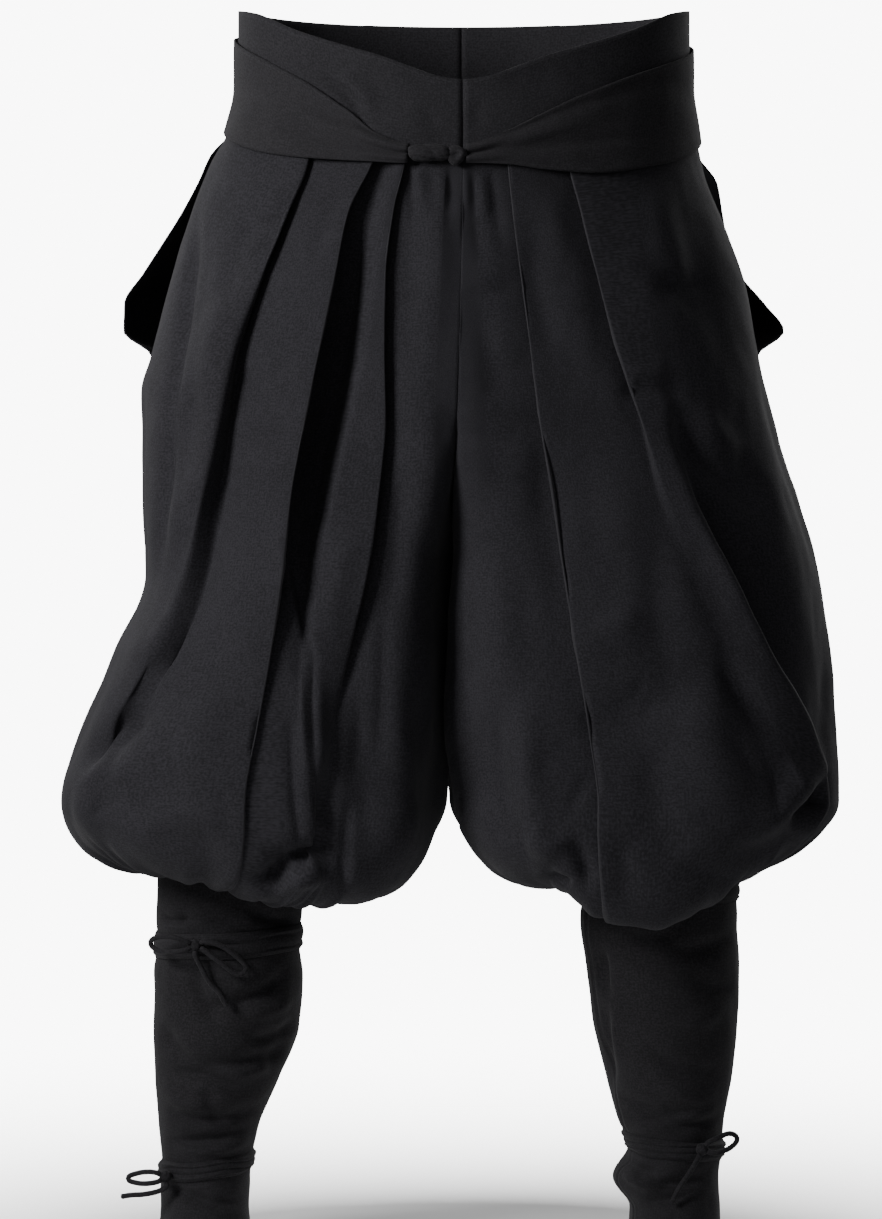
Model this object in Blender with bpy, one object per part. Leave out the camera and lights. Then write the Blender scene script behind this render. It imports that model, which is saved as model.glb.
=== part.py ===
# A hakama with bloused legs and fitted, tied lower legs, filled out as when it is worn.
# Metres, +Z up, front at -Y. The origin is the middle of the waist, where the wearer holds it up.
# "Across" is the distance from the centre plane, counted outwards on either leg.

import bisect
from functools import cache
from math import acos, asin, cos, hypot, pi, sin

import bmesh
import bpy
from mathutils import Matrix, Vector

# Driving dimensions
CLOTH = 0.0012            # wall of a panel, one layer of stout cotton
BAND = 0.0020             # wall of the waistband, folded cloth
TIE = 0.0018              # wall of a waist tie
BOARD = 0.0040            # the stiff board at the back
SEAM = 0.0003             # gap where two pieces are sewn or lie together
FULLEST = -0.560          # height at which the legs are fullest
GATHER = -0.615           # height at which a leg is gathered onto the fitted lower leg
HEM = -0.915              # lower end of the lower legs
SHIN_TOP = -0.596
OPENING = -0.205          # foot of the side openings
CENTRE_TOP = -0.0550      # top of the front panels at the centre front
SIDE_TOP = 0.0040         # and at the side, where the back panels' level top begins
RISE_END = -0.200         # above this the front rows climb towards the side
TOP_CURVE = 1.25          # how the climb of the front panels' top grows towards the side
CROTCH = -0.370
LEG_GAP = 0.0010          # from the plane between the legs to a leg's inner wall
EDGE_RUN = 0.010          # stretch of a side seam that lies flat before the first fold
ARC_STEPS = 48
CORD = 0.0042             # thickness of a tie cord below the knee

# Hull of each leg by height: the side seam, the fullest point and the inner seam, measured
# across, then how far the front and the back stand out.
HULL_COLUMNS = ("z", "side", "full", "inner", "front", "back")
RIGHT_HULL = (
    (0.010, 0.178, 0.000, 0.0000, 0.119, 0.119),
    (-0.020, 0.184, 0.000, 0.0000, 0.121, 0.122),
    (-0.050, 0.200, 0.010, 0.0000, 0.123, 0.128),
    (-0.100, 0.219, 0.035, 0.0005, 0.129, 0.138),
    (-0.150, 0.234, 0.060, 0.0015, 0.136, 0.146),
    (-0.205, 0.248, 0.085, 0.0030, 0.142, 0.150),
    (-0.232, 0.255, 0.095, 0.0038, 0.145, 0.151),
    (-0.260, 0.255, 0.105, 0.0045, 0.147, 0.152),
    (-0.320, 0.254, 0.120, 0.0070, 0.150, 0.152),
    (-0.380, 0.251, 0.132, 0.0105, 0.152, 0.150),
    (-0.440, 0.274, 0.145, 0.0128, 0.154, 0.150),
    (-0.500, 0.302, 0.158, 0.0142, 0.156, 0.150),
    (-0.560, 0.320, 0.168, 0.0180, 0.156, 0.150),
)
LEFT_HULL = (
    (0.010, 0.181, 0.000, 0.0000, 0.119, 0.119),
    (-0.020, 0.185, 0.000, 0.0000, 0.121, 0.122),
    (-0.050, 0.190, 0.010, 0.0000, 0.123, 0.128),
    (-0.100, 0.208, 0.035, -0.0005, 0.129, 0.138),
    (-0.150, 0.226, 0.060, -0.0015, 0.136, 0.146),
    (-0.205, 0.236, 0.085, -0.0030, 0.142, 0.150),
    (-0.260, 0.249, 0.105, -0.0045, 0.147, 0.152),
    (-0.320, 0.268, 0.122, -0.0070, 0.150, 0.152),
    (-0.380, 0.285, 0.138, -0.0105, 0.152, 0.150),
    (-0.440, 0.293, 0.146, -0.0128, 0.154, 0.150),
    (-0.500, 0.298, 0.152, -0.0142, 0.156, 0.150),
    (-0.560, 0.301, 0.156, -0.0070, 0.156, 0.150),
)

# The free side edge of each back panel, which stands out as a wing above the opening's foot
WING_COLUMNS = ("z", "right", "left", "behind")
WING = (
    (0.010, 0.178, 0.181, SEAM / 2),
    (-0.020, 0.184, 0.185, SEAM / 2),
    (-0.030, 0.188, 0.186, SEAM / 2),
    (-0.042, 0.200, 0.188, 0.005),
    (-0.064, 0.212, 0.205, 0.022),
    (-0.088, 0.226, 0.210, 0.032),
    (-0.112, 0.242, 0.215, 0.040),
    (-0.136, 0.258, 0.225, 0.044),
    (-0.160, 0.273, 0.245, 0.045),
    (-0.182, 0.273, 0.260, 0.036),
    (OPENING, 0.248, 0.236, SEAM / 2),
)

# How far the centre seam has turned in between the legs: 0 at the front, 1 at the crotch point
TURN_COLUMNS = ("z", "share")
TURN_IN = (
    (-0.240, 0.00),
    (-0.280, 0.08),
    (-0.310, 0.30),
    (-0.340, 0.64),
    (CROTCH, 1.00),
)

# Fold lines of each panel from the side to the centre. A name ending in "in" is the hidden
# turn behind a pleat's edge. The first table places a line across, the second gives its depth.
RIGHT_FRONT_COLUMNS = ("z", "a", "a_in", "b", "b_in", "roll", "floor", "line", "c", "c_in", "bulge")
RIGHT_FRONT_ACROSS = (
    (-0.05, 0.117, 0.127, 0.0675, 0.0775, 0.066, 0.058, 0.0500, 0.0430, 0.0510, 0.022),
    (-0.10, 0.134, 0.144, 0.0880, 0.0970, 0.084, 0.073, 0.0610, 0.0530, 0.0620, 0.026),
    (-0.15, 0.154, 0.162, 0.0980, 0.1070, 0.093, 0.083, 0.0680, 0.0590, 0.0680, 0.029),
    (-0.20, 0.172, 0.178, 0.1080, 0.1160, 0.101, 0.088, 0.0740, 0.0600, 0.0680, 0.031),
    (-0.26, 0.186, 0.188, 0.1200, 0.1270, 0.112, 0.100, 0.0860, 0.0590, 0.0680, 0.033),
    (-0.32, 0.199, 0.198, 0.1310, 0.1370, 0.122, 0.112, 0.0990, 0.0640, 0.0730, 0.036),
    (-0.38, 0.215, 0.211, 0.1380, 0.1440, 0.130, 0.121, 0.1110, 0.0730, 0.0800, 0.040),
    (-0.44, 0.238, 0.231, 0.1465, 0.1520, 0.132, 0.123, 0.1150, 0.0830, 0.0890, 0.046),
    (-0.50, 0.276, 0.266, 0.1570, 0.1620, 0.131, 0.122, 0.1130, 0.0900, 0.0950, 0.052),
    (-0.56, 0.296, 0.286, 0.1670, 0.1720, 0.131, 0.121, 0.1110, 0.0920, 0.0970, 0.056),
)
RIGHT_FRONT_DEPTH = (
    (-0.05, 0.000, 0.007, 0.000, 0.007, 0.0080, 0.0080, 0.001, 0.000, 0.0070, 0.001),
    (-0.10, 0.000, 0.009, 0.000, 0.011, 0.0150, 0.0150, 0.002, 0.000, 0.0090, 0.000),
    (-0.15, 0.000, 0.011, -0.001, 0.018, 0.0240, 0.0250, 0.004, 0.000, 0.0120, -0.001),
    (-0.20, -0.002, 0.013, -0.003, 0.026, 0.0340, 0.0350, 0.006, 0.001, 0.0140, -0.001),
    (-0.26, -0.003, 0.017, -0.004, 0.028, 0.0380, 0.0390, 0.008, 0.001, 0.0160, -0.001),
    (-0.32, -0.003, 0.020, -0.005, 0.022, 0.0310, 0.0360, 0.009, 0.002, 0.0180, 0.000),
    (-0.38, -0.003, 0.021, -0.005, 0.013, 0.0160, 0.0240, 0.009, 0.002, 0.0170, 0.000),
    (-0.44, -0.003, 0.019, -0.004, 0.008, 0.0080, 0.0120, 0.006, 0.002, 0.0140, 0.000),
    (-0.50, -0.002, 0.012, -0.003, 0.006, 0.0055, 0.0080, 0.004, 0.002, 0.0120, 0.000),
    (-0.56, 0.000, 0.006, -0.002, 0.005, 0.0045, 0.0060, 0.003, 0.002, 0.0100, 0.000),
)
LEFT_FRONT_COLUMNS = ("z", "r_in", "r", "e", "e_in", "d", "d_in", "bulge")
LEFT_FRONT_ACROSS = (
    (-0.05, 0.150, 0.1400, 0.0805, 0.0885, 0.0340, 0.0405, 0.016),
    (-0.10, 0.152, 0.1420, 0.0910, 0.0990, 0.0380, 0.0450, 0.018),
    (-0.15, 0.156, 0.1460, 0.1030, 0.1110, 0.0440, 0.0510, 0.020),
    (-0.20, 0.160, 0.1500, 0.1160, 0.1240, 0.0505, 0.0575, 0.023),
    (-0.26, 0.168, 0.1580, 0.1355, 0.1390, 0.0580, 0.0650, 0.026),
    (-0.32, 0.180, 0.1770, 0.1560, 0.1510, 0.0675, 0.0745, 0.030),
    (-0.38, 0.205, 0.2080, 0.1870, 0.1760, 0.0765, 0.0835, 0.034),
    (-0.44, 0.231, 0.2360, 0.2150, 0.2020, 0.0865, 0.0930, 0.038),
    (-0.50, 0.261, 0.2680, 0.2410, 0.2260, 0.0955, 0.1020, 0.042),
    (-0.56, 0.276, 0.2840, 0.2580, 0.2420, 0.1030, 0.1090, 0.046),
)
LEFT_FRONT_DEPTH = (
    (-0.05, 0.000, 0.000, 0.000, 0.006, 0.000, 0.0045, 0.001),
    (-0.10, 0.000, 0.000, 0.000, 0.007, 0.000, 0.0045, 0.000),
    (-0.15, 0.000, 0.000, 0.000, 0.008, 0.000, 0.0045, -0.001),
    (-0.20, 0.000, -0.001, -0.001, 0.008, 0.000, 0.0045, -0.001),
    (-0.26, 0.004, -0.001, -0.001, 0.007, 0.000, 0.0050, -0.001),
    (-0.32, 0.014, -0.004, 0.000, 0.004, -0.001, 0.0050, 0.000),
    (-0.38, 0.024, -0.008, -0.002, 0.001, -0.001, 0.0055, 0.000),
    (-0.44, 0.029, -0.010, -0.004, 0.000, -0.002, 0.0060, 0.000),
    (-0.50, 0.029, -0.010, -0.005, 0.000, -0.002, 0.0065, 0.000),
    (-0.56, 0.018, -0.006, -0.003, 0.000, -0.002, 0.0080, 0.000),
)
BACK_COLUMNS = ("z", "wing", "p", "p_in", "s", "s_in", "bulge")
BACK_ACROSS = (
    (0.00, 0.160, 0.084, 0.093, 0.044, 0.053, 0.020),
    (-0.10, 0.180, 0.104, 0.113, 0.052, 0.060, 0.024),
    (-0.20, 0.212, 0.126, 0.133, 0.062, 0.069, 0.030),
    (-0.30, 0.215, 0.146, 0.149, 0.073, 0.078, 0.036),
    (-0.40, 0.220, 0.166, 0.164, 0.086, 0.089, 0.042),
    (-0.50, 0.245, 0.190, 0.184, 0.103, 0.100, 0.050),
    (-0.56, 0.255, 0.205, 0.196, 0.114, 0.109, 0.056),
)
BACK_DEPTH = (
    (0.00, 0.000, 0.000, 0.006, 0.000, 0.006, 0.000),
    (-0.10, 0.000, 0.000, 0.007, 0.000, 0.007, -0.001),
    (-0.20, -0.004, -0.001, 0.010, -0.001, 0.008, -0.001),
    (-0.30, -0.010, -0.003, 0.014, -0.002, 0.010, -0.001),
    (-0.40, -0.008, -0.004, 0.016, -0.003, 0.012, 0.000),
    (-0.50, -0.003, -0.004, 0.014, -0.003, 0.012, 0.000),
    (-0.56, 0.000, -0.002, 0.009, -0.002, 0.008, 0.000),
)
# For each fold line: how far its corner is rounded, and how many straight runs the stretch
# before it takes
RIGHT_FRONT_FOLDS = (
    ("a", 0.0070, 3), ("a_in", 0.0050, 1), ("b", 0.0032, 2), ("b_in", 0.0032, 1),
    ("roll", 0.0050, 2), ("floor", 0.0050, 1), ("line", 0.0035, 1), ("c", 0.0032, 1),
    ("c_in", 0.0032, 1), ("bulge", 0.0120, 1),
)
LEFT_FRONT_FOLDS = (
    ("r_in", 0.0090, 2), ("r", 0.0090, 1), ("e", 0.0032, 1), ("e_in", 0.0032, 1),
    ("d", 0.0028, 2), ("d_in", 0.0028, 1), ("bulge", 0.0080, 2),
)
BACK_FOLDS = (
    ("wing", 0.0250, 1), ("p", 0.0035, 1), ("p_in", 0.0035, 1), ("s", 0.0032, 2),
    ("s_in", 0.0032, 1), ("bulge", 0.0100, 1),
)
LAST_RUNS = 4

# Each panel is sewn from two widths of cloth: the seam hides in the stretch before this line
WIDTH_SEAMS = {("right", "front"): "roll", ("left", "front"): "bulge", ("right", "back"): "s",
               ("left", "back"): "s"}

# How far the blouse hangs below its gathers, from the side seam (0) to the inner seam (1)
SAG_COLUMNS = ("along", "right", "left", "right_back", "left_back")
SAG = (
    (0.00, 0.002, -0.008, 0.002, -0.008),
    (0.15, -0.004, -0.008, 0.004, -0.004),
    (0.30, 0.003, 0.008, 0.014, 0.010),
    (0.45, 0.015, 0.044, 0.022, 0.022),
    (0.52, 0.023, 0.051, 0.026, 0.025),
    (0.60, 0.031, 0.043, 0.028, 0.026),
    (0.70, 0.032, 0.018, 0.028, 0.022),
    (0.80, 0.030, 0.017, 0.026, 0.016),
    (0.88, 0.027, 0.012, 0.024, 0.010),
    (1.00, 0.016, -0.006, 0.016, -0.006),
)
WALL_LEVELS = (-0.055, -0.067, -0.083, -0.115, -0.150, -0.190, -0.235, -0.285, -0.325,
               -0.368, -0.420, -0.475, -0.520, FULLEST)
BACK_LEVELS = (SIDE_TOP, -0.014, -0.029, -0.044, -0.090, -0.135, -0.165, -0.186, -0.205,
               -0.260, -0.320, -0.368, -0.450, FULLEST)
BLOUSE_STEPS = (0.22, 0.45, 0.68, 1.0)
DRAWN_IN = 0.55            # share of a panel's width taken up by the gathers at its end
GATHER_SPACING = 0.012     # least share of the width between two folds as they run out

# Fitted lower legs: middle and half widths of each ring
SHIN_COLUMNS = ("z", "middle", "behind", "wide", "deep")
RIGHT_SHIN = (
    (SHIN_TOP, 0.186, 0.000, 0.0560, 0.0570),
    (GATHER, 0.186, 0.000, 0.0570, 0.0580),
    (-0.650, 0.187, 0.002, 0.0575, 0.0590),
    (-0.672, 0.187, 0.003, 0.0560, 0.0575),
    (-0.700, 0.187, 0.006, 0.0590, 0.0610),
    (-0.740, 0.189, 0.010, 0.0580, 0.0610),
    (-0.780, 0.196, 0.012, 0.0500, 0.0550),
    (-0.820, 0.203, 0.012, 0.0400, 0.0460),
    (-0.852, 0.205, 0.010, 0.0350, 0.0400),
    (-0.880, 0.206, 0.006, 0.0350, 0.0420),
    (HEM, 0.206, 0.004, 0.0365, 0.0450),
)
LEFT_SHIN = (
    (SHIN_TOP, 0.158, 0.000, 0.0610, 0.0590),
    (GATHER, 0.158, 0.000, 0.0620, 0.0600),
    (-0.631, 0.158, 0.001, 0.0606, 0.0590),
    (-0.655, 0.158, 0.002, 0.0622, 0.0604),
    (-0.700, 0.161, 0.006, 0.0605, 0.0620),
    (-0.740, 0.163, 0.010, 0.0570, 0.0610),
    (-0.780, 0.166, 0.012, 0.0500, 0.0550),
    (-0.815, 0.168, 0.012, 0.0420, 0.0470),
    (-0.836, 0.171, 0.010, 0.0370, 0.0420),
    (-0.862, 0.163, 0.007, 0.0420, 0.0430),
    (-0.885, 0.170, 0.005, 0.0355, 0.0420),
    (HEM, 0.170, 0.004, 0.0370, 0.0450),
)
RIGHT_SHIN_LEVELS = (SHIN_TOP, GATHER, -0.6400, -0.6610, -0.6720, -0.6830, -0.7050, -0.7400,
                     -0.7800, -0.8200, -0.8440, -0.8520, -0.8600, -0.8850, HEM)
LEFT_SHIN_LEVELS = (SHIN_TOP, GATHER, -0.6220, -0.6310, -0.6400, -0.6560, -0.7000, -0.7400,
                    -0.7800, -0.8120, -0.8280, -0.8360, -0.8440, -0.8620, -0.8850, HEM)
SHIN_SIDES = 16

# Top edge of the waistband by share of the way from the centre front (0) to the side (1) and
# on to the centre back (2)
BAND_COLUMNS = ("along", "top")
BAND_EDGES = (
    (0.00, 0.0030),
    (0.25, 0.0240),
    (0.50, 0.0440),
    (0.75, 0.0640),
    (1.00, 0.0710),
    (1.30, 0.0735),
    (2.00, 0.0735),
)
# Edges of the waist ties from the knot (0) over the side (1) to the back board
TIE_COLUMNS = ("along", "top", "bottom", "crumple")
RIGHT_TIE = (
    (0.13, -0.0475, -0.0625, 0.0036),
    (0.22, -0.0390, -0.0610, 0.0026),
    (0.32, -0.0200, -0.0590, 0.0012),
    (0.50, 0.0080, -0.0535, 0.0004),
    (0.75, 0.0340, -0.0400, 0.0000),
    (1.00, 0.0500, -0.0240, 0.0000),
    (1.30, 0.0600, -0.0040, 0.0000),
    (1.62, 0.0640, 0.0080, 0.0000),
)
LEFT_TIE = (
    (0.008, -0.0475, -0.0625, 0.0036),
    (0.12, -0.0370, -0.0635, 0.0026),
    (0.22, -0.0230, -0.0670, 0.0014),
    (0.35, -0.0060, -0.0690, 0.0006),
    (0.60, 0.0170, -0.0600, 0.0000),
    (1.00, 0.0420, -0.0340, 0.0000),
    (1.15, 0.0500, -0.0220, 0.0000),
    (1.30, 0.0560, -0.0120, 0.0000),
    (1.62, 0.0640, 0.0080, 0.0000),
)
TIE_LIFT = 0.0037          # middle of a tie's wall, outside the middle of the waistband's
TIE_RIDGES = 2
TIE_ROWS = 6
TIE_STEPS = 15
BAND_GAP = 0.0008          # from the waistband down to the panels, whose runs differ in length
BAND_ROWS = (0.0, 0.4, 0.65, 0.85, 1.0)
RING_COLUMNS = 44          # straight runs of the waistband, all round
WAIST_HALF = 0.18          # half width of the waist, which turns a seam's gap into a share
KNOT_MIDDLE = (-0.0258, -0.1305, -0.0550)
KNOT_SIZE = (0.0290, 0.0130, 0.0155)
KNOT_SQUARENESS = 0.45     # below 1 fills the knot out to a roll
LUMP_SIDES = 12
LUMP_RINGS = 8
TIP_MIDDLE = (-0.0046, -0.1295, -0.0562)
TIP_SIZE = (0.0125, 0.0095, 0.0160)
BOARD_BOTTOM = -0.004
BOARD_TOP = 0.0745
BOARD_WIDE_BELOW = 0.40    # share of the way from the centre back to the side
BOARD_WIDE_ABOVE = 0.29
BOARD_GAP = 0.0030         # the same share, between the board's side and the tie sewn to it
BOARD_LIFT = BAND / 2 + 4 * SEAM + BOARD / 2
BOARD_ROWS = 3
BOARD_STEPS = 10

# Bands tied round the lower legs: height, half height and thickness of each
KNEE_Z = {"right": -0.672, "left": -0.631}
KNEE_HALF = {"right": 0.0105, "left": 0.0085}
ANKLE_RIGHT_Z = -0.852
ANKLE_LEFT_Z = -0.836
ANKLE_HALF = 0.0075
WRAP_THICK = 0.0040

# Routes of the cord ends, each measured from its knot: right, forwards, up
KNEE_KNOT = (-0.2100, -0.0597, -0.6715)
KNEE_LOOP_OUTER = ((-0.006, 0.003, 0.003), (-0.018, 0.003, 0.007), (-0.031, -0.006, 0.006),
                   (-0.036, -0.013, 0.000), (-0.028, -0.008, -0.005), (-0.016, 0.002, -0.005),
                   (-0.006, 0.003, -0.003))
KNEE_LOOP_INNER = ((0.006, 0.003, 0.003), (0.020, 0.003, 0.000), (0.033, 0.002, -0.009),
                   (0.040, 0.000, -0.018), (0.034, 0.001, -0.023), (0.021, 0.003, -0.014),
                   (0.006, 0.003, -0.003))
KNEE_TAIL = ((0.000, 0.003, -0.006), (0.004, 0.001, -0.016), (0.011, 0.000, -0.029),
             (0.019, -0.001, -0.038), (0.024, -0.001, -0.047))
ANKLE_KNOT_RIGHT = (-0.2355, -0.0275, -0.8575)
ANKLE_LOOP_RIGHT = ((-0.006, 0.002, 0.003), (-0.014, 0.001, 0.004), (-0.024, -0.003, 0.002),
                    (-0.030, -0.005, -0.002), (-0.023, -0.001, -0.005), (-0.014, 0.003, -0.005),
                    (-0.005, 0.004, -0.003))
ANKLE_TAIL_RIGHT = ((0.001, 0.003, -0.006), (-0.006, 0.002, -0.0115), (-0.018, 0.000, -0.0140),
                    (-0.028, -0.003, -0.0150), (-0.035, -0.006, -0.0165))
ANKLE_KNOT_LEFT = (0.1900, -0.0373, -0.8345)
ANKLE_LOOP_LEFT = ((0.004, 0.003, 0.005), (0.012, 0.002, 0.009), (0.022, -0.004, 0.012),
                   (0.028, -0.007, 0.008), (0.024, -0.003, 0.002), (0.014, 0.003, -0.002),
                   (0.006, 0.003, -0.002))
ANKLE_TAIL_LEFT = ((-0.003, 0.003, -0.006), (-0.010, 0.003, -0.018), (-0.018, 0.002, -0.030),
                   (-0.024, 0.002, -0.042))
CORD_STEPS = 2             # straight runs between two given points of a cord
CORD_LEAD = 0.0025         # a cord leaves its knot straight for this far
SMALL_KNOT = 0.0052        # half size of a small knot

# Colours, as light reflected
PANEL_COLOUR = (0.022, 0.020, 0.023)
BAND_COLOUR = (0.020, 0.019, 0.021)
TIE_COLOUR = (0.024, 0.022, 0.024)
SHIN_COLOUR = (0.018, 0.017, 0.019)


def columns_of(names, rows):
    """One sorted list of places and of values for each named column of a table."""
    ordered = sorted(rows)
    places = [row[0] for row in ordered]
    return {name: (places, [row[i] for row in ordered]) for i, name in enumerate(names)}


def slope(places, values, i):
    """Slope at a table's row that keeps the curve from overshooting."""
    if i == 0 or i == len(places) - 1:
        return 0.0
    before = (values[i] - values[i - 1]) / (places[i] - places[i - 1])
    after = (values[i + 1] - values[i]) / (places[i + 1] - places[i])
    if before * after <= 0:
        return 0.0
    return 2 * before * after / (before + after)


def read(column, place):
    """Value of a table's column at a place, on a smooth curve through its rows."""
    places, values = column
    if place <= places[0]:
        return values[0]
    if place >= places[-1]:
        return values[-1]
    i = bisect.bisect_right(places, place) - 1
    run = places[i + 1] - places[i]
    t = (place - places[i]) / run
    start = slope(places, values, i) * run
    end = slope(places, values, i + 1) * run
    return (values[i] * (1 + 2 * t) * (1 - t) ** 2 + start * t * (1 - t) ** 2
            + values[i + 1] * t * t * (3 - 2 * t) - end * t * t * (1 - t))


def line_value(places, values, place):
    """Value on the straight runs between rising places."""
    if place <= places[0]:
        return values[0]
    if place >= places[-1]:
        return values[-1]
    i = bisect.bisect_right(places, place) - 1
    t = (place - places[i]) / (places[i + 1] - places[i])
    return values[i] + (values[i + 1] - values[i]) * t


def smooth_step(low, high, value):
    t = min(1.0, max(0.0, (value - low) / (high - low)))
    return t * t * (3 - 2 * t)


HULLS = {"right": columns_of(HULL_COLUMNS, RIGHT_HULL), "left": columns_of(HULL_COLUMNS, LEFT_HULL)}
WINGS = columns_of(WING_COLUMNS, WING)
TURNS = columns_of(TURN_COLUMNS, TURN_IN)
SAGS = columns_of(SAG_COLUMNS, SAG)
SHINS = {"right": columns_of(SHIN_COLUMNS, RIGHT_SHIN), "left": columns_of(SHIN_COLUMNS, LEFT_SHIN)}
SIGN = {"right": -1, "left": 1}
PANELS = {
    ("right", "front"): (columns_of(RIGHT_FRONT_COLUMNS, RIGHT_FRONT_ACROSS),
                         columns_of(RIGHT_FRONT_COLUMNS, RIGHT_FRONT_DEPTH), RIGHT_FRONT_FOLDS),
    ("left", "front"): (columns_of(LEFT_FRONT_COLUMNS, LEFT_FRONT_ACROSS),
                        columns_of(LEFT_FRONT_COLUMNS, LEFT_FRONT_DEPTH), LEFT_FRONT_FOLDS),
    ("right", "back"): (columns_of(BACK_COLUMNS, BACK_ACROSS),
                        columns_of(BACK_COLUMNS, BACK_DEPTH), BACK_FOLDS),
    ("left", "back"): (columns_of(BACK_COLUMNS, BACK_ACROSS),
                       columns_of(BACK_COLUMNS, BACK_DEPTH), BACK_FOLDS),
}


def waist_share(across, side):
    """Share of the way from the centre front to the side seam, as an angle round the waist."""
    return asin(min(1.0, max(0.0, across / side))) / (pi / 2)


def panel_top(share):
    """Height of the front panels' sewn top edge."""
    return CENTRE_TOP + (SIDE_TOP - CENTRE_TOP) * share ** TOP_CURVE


def hull_rounding(z):
    """Power that rounds a section: an ellipse at the waist, fuller towards the knee."""
    return 2 / (2.0 + 0.35 * smooth_step(0.05, 0.40, -z))


def inner_rounding(z):
    """The same power for the half next to the inner seam, which turns in sharply between the
    legs and is rounder again at the knee."""
    return 2 / (2.0 + 2.4 * smooth_step(0.24, 0.30, -z) - 1.2 * smooth_step(0.46, 0.56, -z))


@cache
def hull_arc(leg, face, z):
    """A panel's plain section at a height, from the side seam to the inner seam: the length
    run so far, the place across and how far it stands out, as three lists."""
    hull = HULLS[leg]
    side = read(hull["side"], z)
    edge_out = SEAM / 2
    if face == "back" and z > OPENING:
        side = read(WINGS[leg], z)
        edge_out = read(WINGS["behind"], z)
    stands = read(hull[face], z)
    turned = read(TURNS["share"], z)
    inner_out = max(stands * (1 - turned), SEAM / 2)
    gap = SEAM + (LEG_GAP - SEAM) * smooth_step(-0.20, -0.26, z)
    inner = read(hull["inner"], z) + gap
    full = max(read(hull["full"], z), inner + 0.001)
    rounding = hull_rounding(z)
    lengths, acrosses, outs = [0.0], [side], [edge_out]
    for step in range(1, ARC_STEPS + 1):
        angle = pi * step / ARC_STEPS
        if step * 2 > ARC_STEPS:
            rounding = inner_rounding(z)
        reach = abs(cos(angle)) ** rounding
        swell = max(sin(angle), 0.0) ** rounding
        if step * 2 <= ARC_STEPS:
            across = full + (side - full) * reach
            out = edge_out + (stands - edge_out) * swell
        else:
            across = full - (full - inner) * reach
            out = inner_out + (stands - inner_out) * swell
        run = hypot(across - acrosses[-1], out - outs[-1])
        if run > 1e-6:
            lengths.append(lengths[-1] + run)
            acrosses.append(across)
            outs.append(out)
    return lengths, acrosses, outs


def arc_point(arc, share, depth):
    """Place across and outwards at a share of an arc's length, moved inwards by a depth."""
    lengths, acrosses, outs = arc
    length = share * lengths[-1]
    before = max(length - 0.004, 0.0)
    after = min(length + 0.004, lengths[-1])
    run_across = line_value(lengths, acrosses, after) - line_value(lengths, acrosses, before)
    run_out = line_value(lengths, outs, after) - line_value(lengths, outs, before)
    size = hypot(run_across, run_out)
    across = line_value(lengths, acrosses, length) - depth * run_out / size
    out = line_value(lengths, outs, length) + depth * run_across / size
    return across, out


def arc_share(arc, across):
    """Share of an arc's length at a place across."""
    lengths, acrosses, outs = arc
    return line_value(acrosses[::-1], lengths[::-1], across) / lengths[-1]


def row_height(leg, face, level, share):
    """Height of a row at a share of its length: the front rows climb towards the side."""
    if face == "back" or level < RISE_END:
        return level
    z = level
    for settle in range(4):
        arc = hull_arc(leg, face, round(z, 4))
        across, out = arc_point(arc, share, 0.0)
        rise = panel_top(waist_share(across, arc[1][0])) - CENTRE_TOP
        z = level + rise * (level - RISE_END) / (CENTRE_TOP - RISE_END)
    return z


def fold_knots(leg, face, level):
    """Fold lines of a panel at a level, from the side to the centre: share and depth."""
    across_table, depth_table, folds = PANELS[leg, face]
    knots = [(0.0, 0.0)]
    arc = hull_arc(leg, face, round(level, 4))
    knots.append((EDGE_RUN / arc[0][-1], 0.0))
    for name, reach, runs in folds:
        share = arc_share(arc, read(across_table[name], level))
        z = round(row_height(leg, face, level, share), 4)
        share = arc_share(hull_arc(leg, face, z), read(across_table[name], z))
        knots.append((share, read(depth_table[name], z)))
    knots.append((1.0, 0.0))
    return knots


def open_knots(knots, ease):
    """Fold lines as the folds run out into the gathers: 0 keeps them, 1 lays them flat."""
    spread = [0.0]
    for share, depth in knots[1:]:
        spread.append(max(share, spread[-1] + GATHER_SPACING))
    return [(share + (flat / spread[-1] - share) * ease, depth * (1 - ease))
            for (share, depth), flat in zip(knots, spread)]


def rounded(knots, length, folds):
    """Stations along a folded line, its corners rounded: share and depth."""
    points = [Vector((share * length, depth)) for share, depth in knots]
    reaches = [EDGE_RUN / 3] + [reach for name, reach, runs in folds]
    runs_before = [1] + [runs for name, reach, runs in folds] + [LAST_RUNS]
    stations = [points[0]]
    for i in range(1, len(points)):
        corner = points[i]
        last = i == len(points) - 1
        back = points[i - 1] - corner
        start = corner
        if not last:
            onward = points[i + 1] - corner
            reach = min(reaches[i - 1], 0.42 * back.length, 0.42 * onward.length)
            start = corner + back.normalized() * reach
            end = corner + onward.normalized() * reach
        left = stations[-1]
        for step in range(1, runs_before[i - 1] + 1):
            stations.append(left.lerp(start, step / runs_before[i - 1]))
        if not last:
            stations.append((start + 2 * corner + end) / 4)
            stations.append(end)
    return [(point.x / length, point.y) for point in stations]


def panel_point(leg, face, level, share, depth):
    """Point of a panel's wall above the fullest level."""
    z = row_height(leg, face, level, share)
    across, out = arc_point(hull_arc(leg, face, round(z, 4)), share, depth)
    return Vector((SIGN[leg] * across, -out if face == "front" else out, z))


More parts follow.
